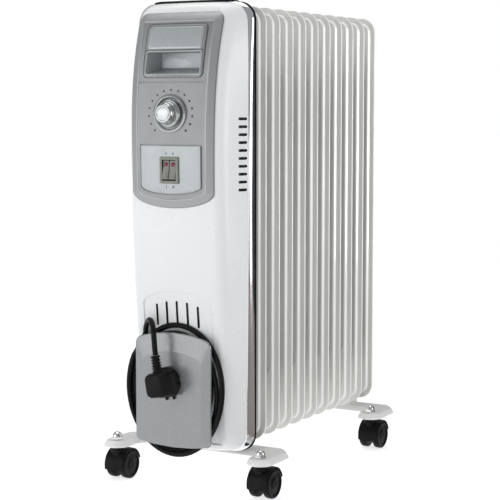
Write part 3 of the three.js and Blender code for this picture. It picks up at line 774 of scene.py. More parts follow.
def make_fins():
    fins = []
    for i in range(FIN_COUNT):
        front_reach = LAST_CAP if i == 0 else MEET
        rear_reach = LAST_CAP if i == FIN_COUNT - 1 else MEET
        name = f"fin_{i + 1:02d}"
        data = fin_mesh(FIRST_FIN + i * FIN_PITCH, front_reach, rear_reach)
        fins.append(piece(f"{name}_skin", data, "fin_enamel", stands_for=[name]))
    return fins


# ---------------------------------------------------------------- housing
HOUSING_TOP, HOUSING_BOTTOM = 633, 54
HOUSING_CORNER = 24
FRONT_HALF, REAR_HALF = 70, 87
TRIM_REAR = 27
CROWN = 3.5
BOW_PEAK, BOW_DEPTH, BOW_BOTTOM = 450, 31, 2
BOW_UPPER_POWER, BOW_LOWER_POWER = 2.5, 1.9
SOFT = 9


def bow(z):
    """How far forward the front corners reach at a height."""
    if z > BOW_PEAK:
        above = (z - BOW_PEAK) / (HOUSING_TOP - BOW_PEAK)
        return -BOW_DEPTH + BOW_DEPTH * above ** BOW_UPPER_POWER
    below = (BOW_PEAK - z) / (BOW_PEAK - HOUSING_BOTTOM)
    return -BOW_DEPTH + (BOW_DEPTH + BOW_BOTTOM) * below ** BOW_LOWER_POWER


def corner_inset(z):
    rise = max(HOUSING_CORNER - min(HOUSING_TOP - z, z - HOUSING_BOTTOM), 0)
    return HOUSING_CORNER - math.sqrt(max(HOUSING_CORNER ** 2 - rise ** 2, 0))


def front_face(x, z):
    """The housing's front surface; it falls away in a shallow crown to each side."""
    half = FRONT_HALF - SOFT - corner_inset(z)
    fall = 0.05 * max(abs(x) - half, 0) ** 2
    return bow(z) - CROWN * (1 - (x / half) ** 2) + fall


def parting(z):
    """Where the white shell meets the chrome trim."""
    across = (z - (HOUSING_TOP + HOUSING_BOTTOM) / 2) / ((HOUSING_TOP - HOUSING_BOTTOM) / 2)
    return TRIM_REAR - 11.5 + 3 * across ** 2


def end_rounding(z, proud):
    """How far the front falls back where it rolls over into the top and bottom."""
    rise = max(SOFT - min(HOUSING_TOP + proud - z, z - HOUSING_BOTTOM + proud), 0)
    return SOFT - math.sqrt(max(SOFT ** 2 - min(rise, SOFT) ** 2, 0))


def flank(z, s, proud=0):
    """The housing's half width at a depth on its flared side."""
    corner = bow(z) + SOFT
    along = (s - corner) / (TRIM_REAR - corner)
    return FRONT_HALF + (REAR_HALF - FRONT_HALF) * along - corner_inset(z) + proud


def housing_section(z, proud, rear_s):
    """One level of the housing: crowned front, rolled corner and flared flank."""
    back = end_rounding(z, proud)
    half = FRONT_HALF - SOFT - corner_inset(z) - 2
    face_steps, corner_steps = 18, 10
    right = []
    for i in range(face_steps + 1):
        x = half * i / face_steps
        right.append((x, front_face(x, z) - proud + back))
    shoulder_s = bow(z) + 2 * SOFT
    start = Vector(right[-1])
    end = Vector((flank(z, shoulder_s, proud), shoulder_s))
    run = 2 * CROWN * half / (half + 2) ** 2
    lean = Vector((flank(z, rear_s) - flank(z, shoulder_s), rear_s - shoulder_s))
    turn = ((end.x - start.x) * lean.y - (end.y - start.y) * lean.x) / (lean.y - run * lean.x)
    knee = start + Vector((turn, turn * run))
    for i in range(1, corner_steps + 1):
        t = i / corner_steps
        right.append(tuple((1 - t) ** 2 * start + 2 * t * (1 - t) * knee + t * t * end))
    right.append((flank(z, (shoulder_s + rear_s) / 2, proud), (shoulder_s + rear_s) / 2))
    right.append((flank(z, rear_s, proud), rear_s))
    left = [(-x, s) for x, s in reversed(right[1:])]
    return [*left, *right]


def levels_between(low, high, end_steps, middle_steps):
    """Heights from low to high that lie closer together round the corners."""
    ends = [HOUSING_CORNER * (1 - math.cos(math.pi / 2 * i / end_steps))
            for i in range(end_steps + 1)]
    reach = high - low - 2 * HOUSING_CORNER
    middle = [low + HOUSING_CORNER + reach * i / middle_steps for i in range(1, middle_steps)]
    return [*(low + end for end in ends), *middle, *(high - end for end in reversed(ends))]


def housing_solid(proud, rear_s):
    """The housing's shape as one solid, grown on every side by proud."""
    mesh = bmesh.new()
    rings = []
    for z in levels_between(HOUSING_BOTTOM - proud, HOUSING_TOP + proud, 9, 34):
        inner_z = min(max(z, HOUSING_BOTTOM), HOUSING_TOP)
        section = housing_section(inner_z, proud, rear_s)
        rings.append([mesh.verts.new(place(x, s, z)) for x, s in section])
    for first, second in zip(rings, rings[1:]):
        bridge(mesh, first, second)
    mesh.faces.new(rings[0])
    mesh.faces.new(rings[-1])
    return to_mesh(mesh)


def prism(points, axis, start, end):
    """A straight cutter: points are (x, z) along s, or (s, z) along x."""
    mesh = bmesh.new()
    rings = []
    for level in (start, end):
        if axis == "s":
            rings.append([mesh.verts.new(place(a, level, b)) for a, b in points])
        else:
            rings.append([mesh.verts.new(place(level, a, b)) for a, b in points])
    bridge(mesh, *rings)
    mesh.faces.new(rings[0])
    mesh.faces.new(rings[1])
    return to_mesh(mesh)


def carve(data, cutters):
    """Cuts the cutters' meshes from a mesh and returns the result."""
    target = linked("target", data)
    tool = linked("tool", joined(*cutters))
    cut = target.modifiers.new("cut", "BOOLEAN")
    cut.object = tool
    cut.solver = "EXACT"
    cut.use_self = True
    depsgraph = bpy.context.evaluated_depsgraph_get()
    result = bpy.data.meshes.new_from_object(target.evaluated_get(depsgraph))
    bpy.data.objects.remove(target)
    bpy.data.objects.remove(tool)
    return result


def curtain(curve, far):
    """A cutter that takes everything between s = curve(z) and a far plane."""
    steps = 40
    low, high = HOUSING_BOTTOM - 6, HOUSING_TOP + 6
    levels = [low + (high - low) * i / steps for i in range(steps + 1)]
    return prism([*((curve(z), z) for z in levels), (far, high), (far, low)], "x", -110, 110)


SIDE_VENTS, SIDE_VENT_TOP, SIDE_VENT_PITCH = 10, 485.5, 10
FRONT_VENT_LOW, FRONT_VENT_HIGH, FRONT_VENT_PITCH = 218, 252, 15.5


def vent_cutters():
    """The row of vents in each flank, and the five upright ones in the recess's arch."""
    cutters = []
    for i in range(SIDE_VENTS):
        z = SIDE_VENT_TOP - SIDE_VENT_PITCH * i
        slot = rounded(0.8, 14.5, z - 1.8, z + 1.8, 1.79, 5)()
        cutters += [prism(slot, "x", 60, 95), prism(slot, "x", -95, -60)]
    for i in range(-2, 3):
        x, top = FRONT_VENT_PITCH * i, FRONT_VENT_HIGH - 1.4 * i * i
        slot = rounded(x - 1.7, x + 1.7, FRONT_VENT_LOW, top, 1.69, 5)()
        cutters.append(prism(slot, "s", -45, 8))
    return cutters


RECESS_DEPTH = 1.6


def arch_outline(grow=0):
    half = 52 + grow
    return [(-half, 64 - grow), (half, 64 - grow), *arc(0, 246, half, 18 + grow, 0, 180, 24)]


def arch_recess(depth, grow):
    """A cutter for the shallow arched recess, with a soft edge to its floor."""
    body = Body()
    rings = [body.ring(arch_outline(grow + ease), height) for ease, height in
             ((-1.5, -depth), (-0.9, -depth + 0.25), (0, -depth + 1.1), (0.3, 0.2), (0.6, 30))]
    for first, second in zip(rings, rings[1:]):
        bridge(body.mesh, first, second)
    body.fill([rings[0]])
    body.fill([rings[-1]])
    body.slice("v", 60, 265, 6)
    body.slice("u", -50, 51, 10)
    return body.finish(on_front)


def panel_shape():
    """The control panel: it narrows downwards and ends in a shallow arc."""
    half, top, corner = 63, 620, 12
    return [*arc(half - corner, top - corner, corner, corner, 0, 90, 8),
            *arc(-half + corner, top - corner, corner, corner, 90, 180, 8),
            (-half + 1, 500), *arc(0, 392, half - 2, 20, 180, 360, 28), (half - 1, 500)]


panel_outline = inset_of(panel_shape())


def is_inside(point):
    """Whether a point of the shell is on its inner side, or in a vent's edge."""
    x, s, z = abs(point.x) / MM, depth_of(point.y), point.z / MM
    side_skin, front_skin, end_skin = 0.8, 2, 10
    beside = s > bow(z) + 2 * SOFT + 1 and x < flank(z, s) - side_skin
    behind = x < FRONT_HALF - SOFT - corner_inset(z) - 2 and s - front_face(x, z) > front_skin
    return (beside or behind) and HOUSING_BOTTOM + end_skin < z < HOUSING_TOP - end_skin


def make_housing():
    wall = 2.5
    shell = carve(housing_solid(0, TRIM_REAR), [arch_recess(RECESS_DEPTH, 0)])
    inside = carve(housing_solid(-wall, TRIM_REAR + 5), [arch_recess(RECESS_DEPTH + wall, wall)])
    shell = carve(shell, [inside])
    shell = carve(shell, [curtain(parting, 90)])
    panel_hole = prism(panel_outline(8), "s", -60, 5)
    gland_hole = prism(disc(gland_end[0], gland_end[2] + GLAND_RISE, 6.3)(), "s", -60, 8)
    shell = carve(shell, [panel_hole, gland_hole, *vent_cutters()])
    housing = piece("housing_shell", shell, "housing_white", stands_for=["front_housing"])
    edges = housing.modifiers.new("edges", "BEVEL")
    edges.width = 0.5 * MM
    edges.segments = 2
    edges.angle_limit = math.radians(50)
    # The shell's inner faces and vent walls get near-black painted shade.
    shell.materials.append(look["dark"])
    for polygon in shell.polygons:
        polygon.use_smooth = True
        polygon.material_index = 1 if is_inside(polygon.center) else 0
    shell.set_sharp_from_angle(angle=math.radians(35))


def perimeter(s_of, proud):
    """A closed loop round the housing at depth s_of(z), bottom right and up first."""
    low, high = HOUSING_BOTTOM, HOUSING_TOP
    right = []
    for z in levels_between(low, high, 10, 30):
        s = s_of(z)
        lift = proud * (2 * (z - low) / (high - low) - 1)
        right.append((flank(z, s, proud), s, z + lift))
    return [*right, *((-x, s, z) for x, s, z in reversed(right))]


def make_trim():
    """The chrome band: a rounded section swept round the housing."""
    section = [(0, -0.6), (0, -0.1), (0.06, 0.3), (0.25, 0.75), (0.5, 0.95), (0.75, 0.75),
               (0.94, 0.3), (1, -0.1), (1, -0.9), (0.5, -1.2)]
    rings = []
    for share, proud in section:
        def depth(z, share=share):
            front = parting(z) + 0.3
            return front + (TRIM_REAR - front) * share
        rings.append(perimeter(depth, proud))
    piece("trim_band", loop_body(rings, crease=50), "chrome_trim",
          stands_for=["chrome_trim"])


def make_rear_frame():
    outer, inner = rounded(-88, 88, 53, 634, 24, 10), rounded(-85, 85, 56, 631, 22, 10)
    front, rear = TRIM_REAR + 0.3, TRIM_REAR + 2.8
    rings = [(outer, 0.7, front), (outer, 0, front + 0.7), (outer, 0, rear - 0.7),
             (outer, 0.7, rear), (inner, 0, rear), (inner, 0, front)]
    loops = [[(x, s, z) for x, z in outline(inset)] for outline, inset, s in rings]
    piece("rear_frame_ring", loop_body(loops), "black_plastic",
          stands_for=["rear_frame"])


def make_handle():
    """The low bar on top, rounded along its front and tapered down at both ends."""
    def above(x, s, height):
        droop = 1.2 * smooth_step((abs(x) - 50) / 11)
        return place(x, s, height - droop)
    bar = relief(rounded(-61, 61, 20, 35, 4), [
        (0.8, 634.6), (0, 635.2), (0, 636.2), (0.4, 636.8), (1.4, 637)], above,
        slices=[("u", -60, 60, 4)])
    feet = [relief(rounded(x - 8, x + 8, 20, 26.8, 2), [(0, 633.1), (0, 635.6)], above)
            for x in (-46, 46)]
    piece("handle_bar", joined(bar, *feet), "black_plastic",
          stands_for=["top_handle"])


# ---------------------------------------------------------------- control panel
# Heights above the housing's face.
PANEL_BACK, PANEL_FIELD = 0.3, 3.5
MODULE_FACE, PLATE_FACE = 5.2, 5
RECESS = (-40, 40, 542, 570)
DIAL_Z = 492
SWITCH_Z = 420.5


def make_panel():
    """The grey panel: a wide bevel up to a ridge, then a flat field with its openings."""
    field = PANEL_FIELD
    bevel = [(0, PANEL_BACK), (0, 0.9), (0.3, 1.3), (1, 1.7), (9, 4.3)]
    ridge = [(9.6, 4.45), (10.6, 4.45), (11.3, 4.2), (11.9, field + 0.1), (12.4, field)]
    opening = [(0, field), (-0.6, field - 0.25), (-0.8, field - 0.9), (-0.8, PANEL_BACK)]
    module = rounded(-45.5, 45.5, 536.5, 606, 8)
    module_rise = [(0, field), (0.15, field - 1.2), (1, field - 1.2), (1.1, field), (1.5, 4.6),
                   (2.2, 5), (3.2, MODULE_FACE)]
    groove = rounded(-50.3, 50.3, 530.6, 532.4, 0.85, 3)
    body = Body()
    back, front = body.chain(panel_outline, [*bevel, *ridge])
    # The edge's outer bands get the darker copy of the panel grey as painted shade, and the wide slope and the
    # ridge get the lighter copy as a painted highlight.
    bevel_faces = (len(bevel) - 2) * len(front)
    for i, face in enumerate(body.mesh.faces):
        face.material_index = 1 if i < bevel_faces else 2
    front_rings, back_rings = [front], [back]
    first, last = body.chain(groove, [(0, field), (0.1, field - 1)])
    front_rings.append(first)
    body.fill([last])
    first, module_top = body.chain(module, module_rise)
    front_rings.append(first)
    hole = rounded(RECESS[0] - 2.5, RECESS[1] + 2.5, RECESS[2] - 2.5, RECESS[3] + 2.5, 1.5)
    first, last = body.chain(hole, [(0, MODULE_FACE), (-0.01, PANEL_BACK)])
    body.fill([module_top, first])
    back_rings.append(last)
    first, last = body.chain(disc(0, DIAL_Z, 5), opening)
    front_rings.append(first)
    back_rings.append(last)
    channel, seat = body.chain(switch_outline, [(-1, field), (-0.9, field - 1.2),
                                                (0.2, field - 1.2), (0.25, field)])
    front_rings.append(channel)
    first, last = body.chain(switch_hole, opening)
    body.fill([seat, first])
    back_rings.append(last)
    body.fill(front_rings)
    body.fill(back_rings)
    body.slice("u", -60, 61, 6)
    body.slice("v", 376, 620, 7)
    moulding = body.finish(on_front, 24)
    piece("panel_moulding", moulding, "panel_grey", stands_for=["control_panel"])
    moulding.materials.append(look["panel_rim_painted_shade"])
    moulding.materials.append(look["panel_ridge_painted_highlight"])


def make_handle_cup():
    """The finger recess: a frame round a pocket with sloping side walls."""
    outline = rounded(RECESS[0] - 2.2, RECESS[1] + 2.2, RECESS[2] - 2.2, RECESS[3] + 2.2, 4)
    floor, full_depth, sill_lift, wall_shift = 1.8, 20, 7, 5

    def pocket(x, z, height):
        front = front_face(x, z) - max(height, 0)
        deep = min(max(-height, 0) / full_depth, 1)
        lift = sill_lift * deep * (RECESS[3] - z) / (RECESS[3] - RECESS[2])
        shift = wall_shift * deep * (RECESS[1] - x) / (RECESS[1] - RECESS[0])
        return place(x + shift, front + (floor - front) * deep, z + lift)
    steps = [(1, -20), (0, -19), (0, 4.7), (0.3, 5.3), (0.9, 5.6), (1.6, 5.6),
             (2.1, 5.3), (2.4, 4.6), (2.6, -17), (3, -18.4), (4.2, -18.9)]
    piece("finger_recess", relief(outline, steps, pocket, crease=40),
          "silver_plastic", stands_for=["handle_cup"])


def make_blank_plate():
    outline = rounded(-40.5, 40.5, 573.6, 601.5, 4)
    steps = [(0, 5), (0, 5.5), (0.6, 5.9), (2.2, 6.3), (2.8, 6.3)]
    plate = relief(outline, steps, on_front, slices=[("u", -40, 41, 6), ("v", 575, 602, 6)])
    piece("upper_plate", plate, "silver_plastic", stands_for=["blank_plate"])


switch_outline = inset_of([(-45, 452), (-45, 402), *arc(0, 400, 45, 10, 184, 356, 24),
                           (45, 402), (45, 452)])
switch_hole = rounded(-12, 12, SWITCH_Z - 15, SWITCH_Z + 15, 1)


def make_switch_plate():
    back = 3.3
    steps = [(0.4, back), (0.4, 3.7), (0.5, 4.5), (0.9, 4.9), (1.5, PLATE_FACE)]
    hole_steps = [(0, PLATE_FACE), (0, back)]
    plate = relief(switch_outline, steps, on_front, through=[(switch_hole, hole_steps)],
                   slices=[("u", -44, 45, 6), ("v", 392, 452, 6)])
    piece("switch_field", plate, "silver_plastic", stands_for=["switch_plate"])


dial_face = front_face(0, DIAL_Z)
KNOB_FACE = depth_of(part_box("knob")[0].y)


def make_dial():
    """The chromed ring round the knob, and the printed dots of its scale."""
    front = dial_face - 7
    seat = dial_face - 2
    profile = [(24.5, seat), (24.4, front + 2.4), (23.9, front + 1.2), (22.9, front + 0.5),
               (21.7, front + 0.2), (20.6, front + 0.6), (19.8, front + 1.6), (19.4, front + 3.2),
               (19.4, seat)]
    rings = [[(x, along, DIAL_Z + z) for x, z in circle(radius, 72)] for radius, along in profile]
    piece("dial_bezel", loop_body(rings), "knob_metal",
          stands_for=["dial_ring"])
    dots = []
    count, first_angle, sweep = 15, 225, 270
    for i in range(count):
        angle = math.radians(first_angle - sweep * i / (count - 1))
        size = 1.3 + 0.4 * (i / (count - 1)) ** 3
        centre = (32.5 * math.cos(angle), DIAL_Z + 30 * math.sin(angle))
        dots.append(relief(disc(*centre, size, 20), edge_steps(3.4, 3.65, 0.08), on_front))
    piece("dial_dots", joined(*dots), "ink")


def make_knob():
    """The stepped knob: dished cap, polished shoulder, fluted grip and wide skirt."""
    f = KNOB_FACE
    profile = [(0, f + 1.1), (4, f + 1), (7, f + 0.75), (8.9, f + 0.35), (9.6, f + 0.05),
               (10.3, f), (11, f + 0.2), (11.6, f + 0.8), (12, f + 1.8), (12.4, f + 3.2),
               (12.7, f + 3.6), (13.1, f + 3.9), (13.4, f + 4.6), (13.8, f + 10), (14.1, f + 10.9),
               (15, f + 11.5), (16.6, f + 12.3), (17.1, f + 13.1), (17.2, f + 17),
               (16, f + 17.4), (3, f + 17.5), (3, f + 43), (0, f + 43.3)]

    flute_count, flute_depth = 36, 0.35

    def flutes(angle, radius, along):
        grip = smooth_step((along - f - 4.6) / 1.2) * smooth_step((f + 10.2 - along) / 1.2)
        return radius - flute_depth * grip * (0.5 + 0.5 * math.cos(flute_count * angle))
    data = turned(profile, lying(0, DIAL_Z), sides=144, wave=flutes, crease=40)
    piece("knob_body", data, "knob_metal", body="knob", stands_for=["knob"])
    pointer = relief(rounded(-0.7, 0.7, 10.2, 13, 0.6, 4), [
        (0, -2.2), (0, 0.1), (0.2, 0.25)],
        lambda x, z, height: place(x, f + 1.6 - height, DIAL_Z + z))
    piece("knob_pointer", pointer, "ink", body="knob")


switch_seat = front_face(0, SWITCH_Z)
BEZEL_FRONT = 7.2
ROCKER_X = 5.2
rocker_joint = next(joint for joint in frame["joints"] if joint["name"] == "rocker_left_tip")
PIVOT_S = depth_of(rocker_joint["pos_m"][1])


def make_switch_body():
    outline = rounded(-14, 14, SWITCH_Z - 17, SWITCH_Z + 17, 1.6)
    half_x, half_z = 10.6, 13.5
    pocket = rounded(-half_x, half_x, SWITCH_Z - half_z, SWITCH_Z + half_z, 0.8)
    steps = [(3.2, -14), (3, 4.8), (0, 5.05), (0, BEZEL_FRONT - 1),
             (0.3, BEZEL_FRONT - 0.3), (1, BEZEL_FRONT)]
    sink = [(0, BEZEL_FRONT), (0.3, BEZEL_FRONT - 0.3), (0.4, BEZEL_FRONT - 8.6)]
    data = relief(outline, steps, facing_front(switch_seat), top=[(pocket, sink)])
    piece("switch_bezel", data, "switch_grey", stands_for=["switch_body"])
    # The pocket's walls and floor round the rockers get near-black painted shade.
    data.materials.append(look["dark"])
    for polygon in data.polygons:
        x, s, z = polygon.center.x / MM, depth_of(polygon.center.y), polygon.center.z / MM
        in_pocket = abs(x) < half_x + 0.05 and abs(z - SWITCH_Z) < half_z + 0.05
        if in_pocket and switch_seat - BEZEL_FRONT + 0.2 < s < switch_seat + 4:
            polygon.material_index = 1


def make_rocker(side, name):
    """A rocker with a hollowed face, tipped top in, and the lamp near its top."""
    half, tilt = 12.1, math.radians(-10)
    top, dip, lamp_z = 3.75, 0.9, 6.9

    def tipped(x, z, height):
        s = -height
        return place(side * ROCKER_X + x, PIVOT_S + s * math.cos(tilt) - z * math.sin(tilt),
                     SWITCH_Z + s * math.sin(tilt) + z * math.cos(tilt))

    def hollow(z):
        return dip * (1 - (z / half) ** 2)

    def face(x, z, height):
        return tipped(x, z, height - hollow(z) if height > 3 else height)

    def about_lamp(x, z, height):
        return tipped(x, lamp_z + z, height)
    edge = [(0.8, -1.5), (0, -0.8), (0, 3.1), (0.15, 3.55), (0.6, top)]
    cap = relief(rounded(-4.8, 4.8, -half, half, 0.9), edge, face, slices=[("v", -11.5, 12, 1.5)])
    piece(f"{name}_cap", cap, "switch_grey", body=name, stands_for=[name])
    dish = top - hollow(lamp_z)
    profile = [(0, dish - 1), (2.9, dish - 0.9), (2.9, dish + 0.15), (2.6, dish + 0.6),
               (1.9, dish + 1), (1, dish + 1.15), (0, dish + 1.2)]
    dome = turned(profile, about_lamp, sides=32)
    piece(f"{name}_lamp", dome, "lamp_red", body=name)
    section = [(3.6, dish - 0.4), (3.6, dish + 0.3), (3.3, dish + 0.5), (3, dish + 0.3),
               (3, dish - 0.4)]
    collar = [[(x, z, height) for x, z in circle(radius, 32)] for radius, height in section]
    ring = loop_body(collar, where=about_lamp)
    piece(f"{name}_lamp_collar", ring, "silver_plastic", body=name)


def make_marks():
    """Generic on and off marks: a bar and two bars below the rockers, rings above."""
    edge = edge_steps(PLATE_FACE, PLATE_FACE + 0.12, 0.05)
    low_z, high_z, aside = 399.2, 441.6, 0.7
    marks = []
    for x in (-ROCKER_X, ROCKER_X - aside, ROCKER_X + aside):
        bar = rounded(x - 0.4, x + 0.4, low_z - 1.7, low_z + 1.7, 0.35, 3)
        marks.append(relief(bar, edge, on_front))
    for x in (-ROCKER_X, ROCKER_X):
        hole = disc(x, high_z, 0.85, 24)
        marks.append(relief(disc(x, high_z, 1.4, 24), edge, on_front,
                            through=[(hole, [(0, PLATE_FACE + 0.12), (0, PLATE_FACE)])]))
    piece("switch_marks", joined(*marks), "ink")


# ---------------------------------------------------------------- cord winder
COVER_FRONT, COVER_BACK = -38, -32
PLUG_X, PLUG_Z, PLUG_TURN = -4, 148.5, math.radians(-10)
PLUG_FACE = COVER_FRONT - 0.3
PIN_SPACING = 19


def cover_outline(inset=0, band=0):
    """The cover's edge, bowed top and bottom with its upper corners cut, moved inwards by
    an inset and, for the raised face, by a band that is deeper at the top."""
    half, low = 57 - inset - band, WINDER_Z - 75 + inset + 0.7 * band
    high = WINDER_Z + 75 - inset - 2.1 * band
    r = max(8 - 0.5 * inset - 0.4 * band, 2)
    right = [(half * 0.5, low + 1.4), *arc(half - r, low + r + 4, r, r, 290, 360, 6),
             (half, high - 60), (half, high - 17), (half - 0.9, high - 13.2),
             (half - 3, high - 10), (half - 6.5, high - 7.8), (half - 14, high - 5.2),
             (half * 0.5, high - 2.2), (half * 0.25, high - 0.6)]
    left = [(-x, z) for x, z in reversed(right)]
    return [(0, low), *right, (0, high), *left]


def pin_places():
    return [(PLUG_X + side * PIN_SPACING / 2 * math.cos(PLUG_TURN),
             PLUG_Z - side * PIN_SPACING / 2 * math.sin(PLUG_TURN)) for side in (-1, 1)]


def make_cover():
    """The lid: a thin rim, slopes up to a raised face, and two holes for the plug's pins."""
    face, inside = 6, 1.4
    body = Body()
    back, rim = body.chain(cover_outline, [
        (1, 0.2), (0.2, 0), (0, 0.5), (0, 1.2), (0.3, 2), (0.9, 2.5), (1.8, 2.8)])
    inner = body.ring(cover_outline(2.2, 10), 5.85)
    bridge(body.mesh, rim, inner)
    level = body.ring(cover_outline(2.8, 10), face)
    bridge(body.mesh, inner, level)
    hollow, floor = body.chain(cover_outline, [(2.6, 0.2), (2.8, inside)])
    bridge(body.mesh, hollow, back)
    front_rings, floor_rings = [level], [floor]
    for x, z in pin_places():
        start, last = body.chain(disc(x, z, 3.2, 24), [(0, face), (0.3, face - 0.3), (0.3, inside)])
        front_rings.append(start)
        floor_rings.append(last)
    body.fill(front_rings)
    body.fill(floor_rings)
    lid = body.finish(facing_front(COVER_BACK), crease=9)
    piece("winder_lid", lid, "winder_grey", stands_for=["winder_cover"])


def make_hub():
    """The oval post that the lead is wound on."""
    def oval(inset=0):
        return arc(0, WINDER_Z, 26 - inset, 34 - inset, 0, 355, 71)
    steps = [(-2.5, -4.5), (-0.8, -3.6), (0, -1.5), (0, 22), (-0.8, 24.4), (-2.5, 25.4)]
    post = relief(oval, steps, facing_front(-6.5))
    piece("winder_post", post, "winder_grey", stands_for=["winder_hub"])


def ribbed(radius, narrowing, first, pitch, ribs):
    """Where the ribs of a moulded sleeve start, as (radius, along) points."""
    return [(radius - narrowing * i, first + pitch * i) for i in range(ribs)]


def make_gland():
    """The gland: a collar in the housing, an elbow and a ribbed, tapering relief."""
    x, s, z = gland_end
    collar = turned([(0, 3), (6, 3), (6, -16), (5.6, -16.6), (0, -16.8)],
                    lying(x, z + GLAND_RISE, s + 12), sides=40)
    profile = [(0, 48.2), (3.4, 47.7), (5, 46.6), (5.6, 44.8)]
    for radius, top in ribbed(5.6, 1.3 / 9, 43, -4.6, 9):
        profile += [(radius, top), (radius, top - 2.5), (radius - 0.7, top - 2.8),
                    (radius - 0.7, top - 4.3)]
    profile += [(4.3, 1.2), (4, 0.1), (0, 0.05)]
    sleeve = turned(profile, upright(x, s, z), sides=40)
    return piece("lead_gland", joined(collar, sleeve), "cord_black", stands_for=["cord_gland"])


def about_plug(x, z, along):
    """Plug space: x across, z towards the lead, along out of the cover's face."""
    cos, sin = math.cos(PLUG_TURN), math.sin(PLUG_TURN)
    return place(PLUG_X + x * cos + z * sin, PLUG_FACE - along, PLUG_Z - x * sin + z * cos)


def make_plug():
    """A two-pin plug: notched round face, faceted grip and a ribbed sleeve."""
    def notched(angle, radius, along):
        side = math.exp(-((math.cos(angle) ** 2 - 1) / 0.03) ** 2)
        return radius - (1.6 * side if radius > 15 else 0)
    profile = [(0, 0), (18.6, 0), (19.3, 0.6), (19.5, 1.4), (19.5, 6.2), (19.2, 7.2),
               (18.4, 7.9), (16.5, 8.3), (0, 8.4)]
    face = turned(profile, about_plug, sides=96, wave=notched)

    def grip_outline(inset=0):
        half, cut = 14.5 - inset, 5.2
        low, high = -16.5 + inset, 15.5 - inset
        return [(half, low + cut), (half, high - cut), (half - 1.4, high - cut + 2.8),
                (half - cut, high), (-half + cut, high), (-half + 1.4, high - cut + 2.8),
                (-half, high - cut), (-half, low + cut), (-half + 1.4, low + cut - 2.8),
                (-half + cut, low), (half - cut, low), (half - 1.4, low + cut - 2.8)]
    steps = [(-2.6, 7.4), (-1.6, 9.6), (0, 13), (0.3, 26), (0.8, 31.5), (1.6, 34),
             (3.2, 35.6), (5.2, 36)]
    grip = relief(grip_outline, steps, about_plug, crease=24)
    profile = [(0, 11.5), (6.6, 11.5), (6.6, 16)]
    for radius, start in ribbed(6.6, 0.14, 16, 3.6, 5):
        profile += [(radius, start), (radius, start + 1.7), (radius - 1.5, start + 1.9),
                    (radius - 1.5, start + 3.4)]
    profile += [(5.9, 34.2), (5.9, 36.2), (5.4, 36.9), (0, 37)]
    sleeve = turned(profile, lambda a, b, along: about_plug(a, along, 21 + b), sides=40)
    profile = [(0, 0.5), (2.4, 0.4), (2.4, -17.6), (1.6, -18.8), (0, -19)]
    pins = []
    for x in (-PIN_SPACING / 2, PIN_SPACING / 2):
        pins.append(turned(profile, lambda a, b, along, x=x: about_plug(x + a, b, along), sides=24))
    prongs = [relief(rounded(x - 1.2, x + 1.2, -23.2, -17.5, 0.5, 3), edge_steps(0.4, 3.2, 0.5),
                     about_plug) for x in (-5.5, 5.5)]
    piece("plug_pins", joined(*pins), "chrome_bolt")
    return piece("plug_body", joined(face, grip, sleeve, *prongs), "cord_black",
                 stands_for=["plug"])


# ---------------------------------------------------------------- brackets and clamps
BRACKET_TOP = 54
REAR_CASTOR = FIN_PITCH * (FIN_COUNT - 2)
CASTOR_X = 110
# The clamp bolt lies this far behind the castors' axis.
CLAMP = 44.3
SADDLE_TOP = 60.7
CLAMP_HALF = 31.3


def bracket_shape():
    """Plan of a foot bracket about its castor axis: a bar with an ear at each end."""
    ear = 18
    outer = CASTOR_X + ear
    right = [(82, 31.8), (86, 30.6), (89.4, 28), (91.4, 24), (92, 18),
             *arc(CASTOR_X, 0, ear, ear, 180, 360, 20),
             (outer - 0.3, 24), (outer - 1, 44), (outer - 2.6, 48.5), (outer - 5, 52),
             (outer - 15, 63), (outer - 18, 65.2), (outer - 22, 66)]
    left = [(-x, y) for x, y in reversed(right)]
    return [*right, *left]


bracket_outline = inset_of(bracket_shape())


def make_bracket(label, axis_s):
    steps = [(6, 51.4), (2.9, 47.4), (2.5, 46.4), (2.3, 46), (0.4, 46), (0, 46.4),
             (0, 47.2), (0.5, 48.6), (3.1, 52.9), (3.7, 53.6), (4.5, 53.95), (5.4, BRACKET_TOP)]
    hump = (rounded(-61, 61, 33, 63, 4, 6), [
        (0, BRACKET_TOP), (0.7, 54.3), (1.2, 55.2), (1.6, 59.4), (2, 60.3), (3, SADDLE_TOP)])

    def upwards(x, y, height):
        return place(x, axis_s + y, height)
    data = relief(bracket_outline, steps, upwards, top=[hump], crease=30)
    piece(f"{label}_foot", data, "bracket_enamel", stands_for=[f"{label}_bracket"])


def make_clamp(label, axis_s):
    """The round bolt over a header ring and the two wing nuts under the saddle."""
    s = axis_s + CLAMP
    low = BRACKET_TOP - 7
    side = [(CLAMP_HALF, low + (LOWER_Z - low) * i / 6) for i in range(6)]
    line = [*side, *arc(0, LOWER_Z, CLAMP_HALF, CLAMP_HALF, 0, 180, 30),
            *((-x, z) for x, z in reversed(side))]
    curve = wire([place(x, s, z) for x, z in line], 6)
    piece(f"{label}_clamp_wire", curve, "steel", stands_for=[f"{label}_clamp_bolt"])
    for name, x in (("left", -CLAMP_HALF), ("right", CLAMP_HALF)):
        make_wing_nut(f"{label}_wing_nut_{name}", x, s)


def make_wing_nut(node, x, s):
    sheet, gap = 2.5, 0.3
    top = SADDLE_TOP - sheet - gap
    profile = [(0, top), (5.4, top), (6, top - 0.6), (5.6, top - 5.4), (4.9, top - 6), (0, top - 6)]
    barrel = turned(profile, upright(x, s), sides=32)
    wings = []
    for side in (-1, 1):
        def wing(u, v, height, side=side):
            return place(x + side * (4 + u), s + height, top - 4.5 + v)
        wings.append(relief(rounded(0, 8, -3.4, 3.6, 3.2, 6), [
            (0.6, -1.3), (0, -0.8), (0, 0.8), (0.6, 1.3)], wing))
    piece(f"{node}_cast", joined(barrel, *wings), "steel", stands_for=[node])


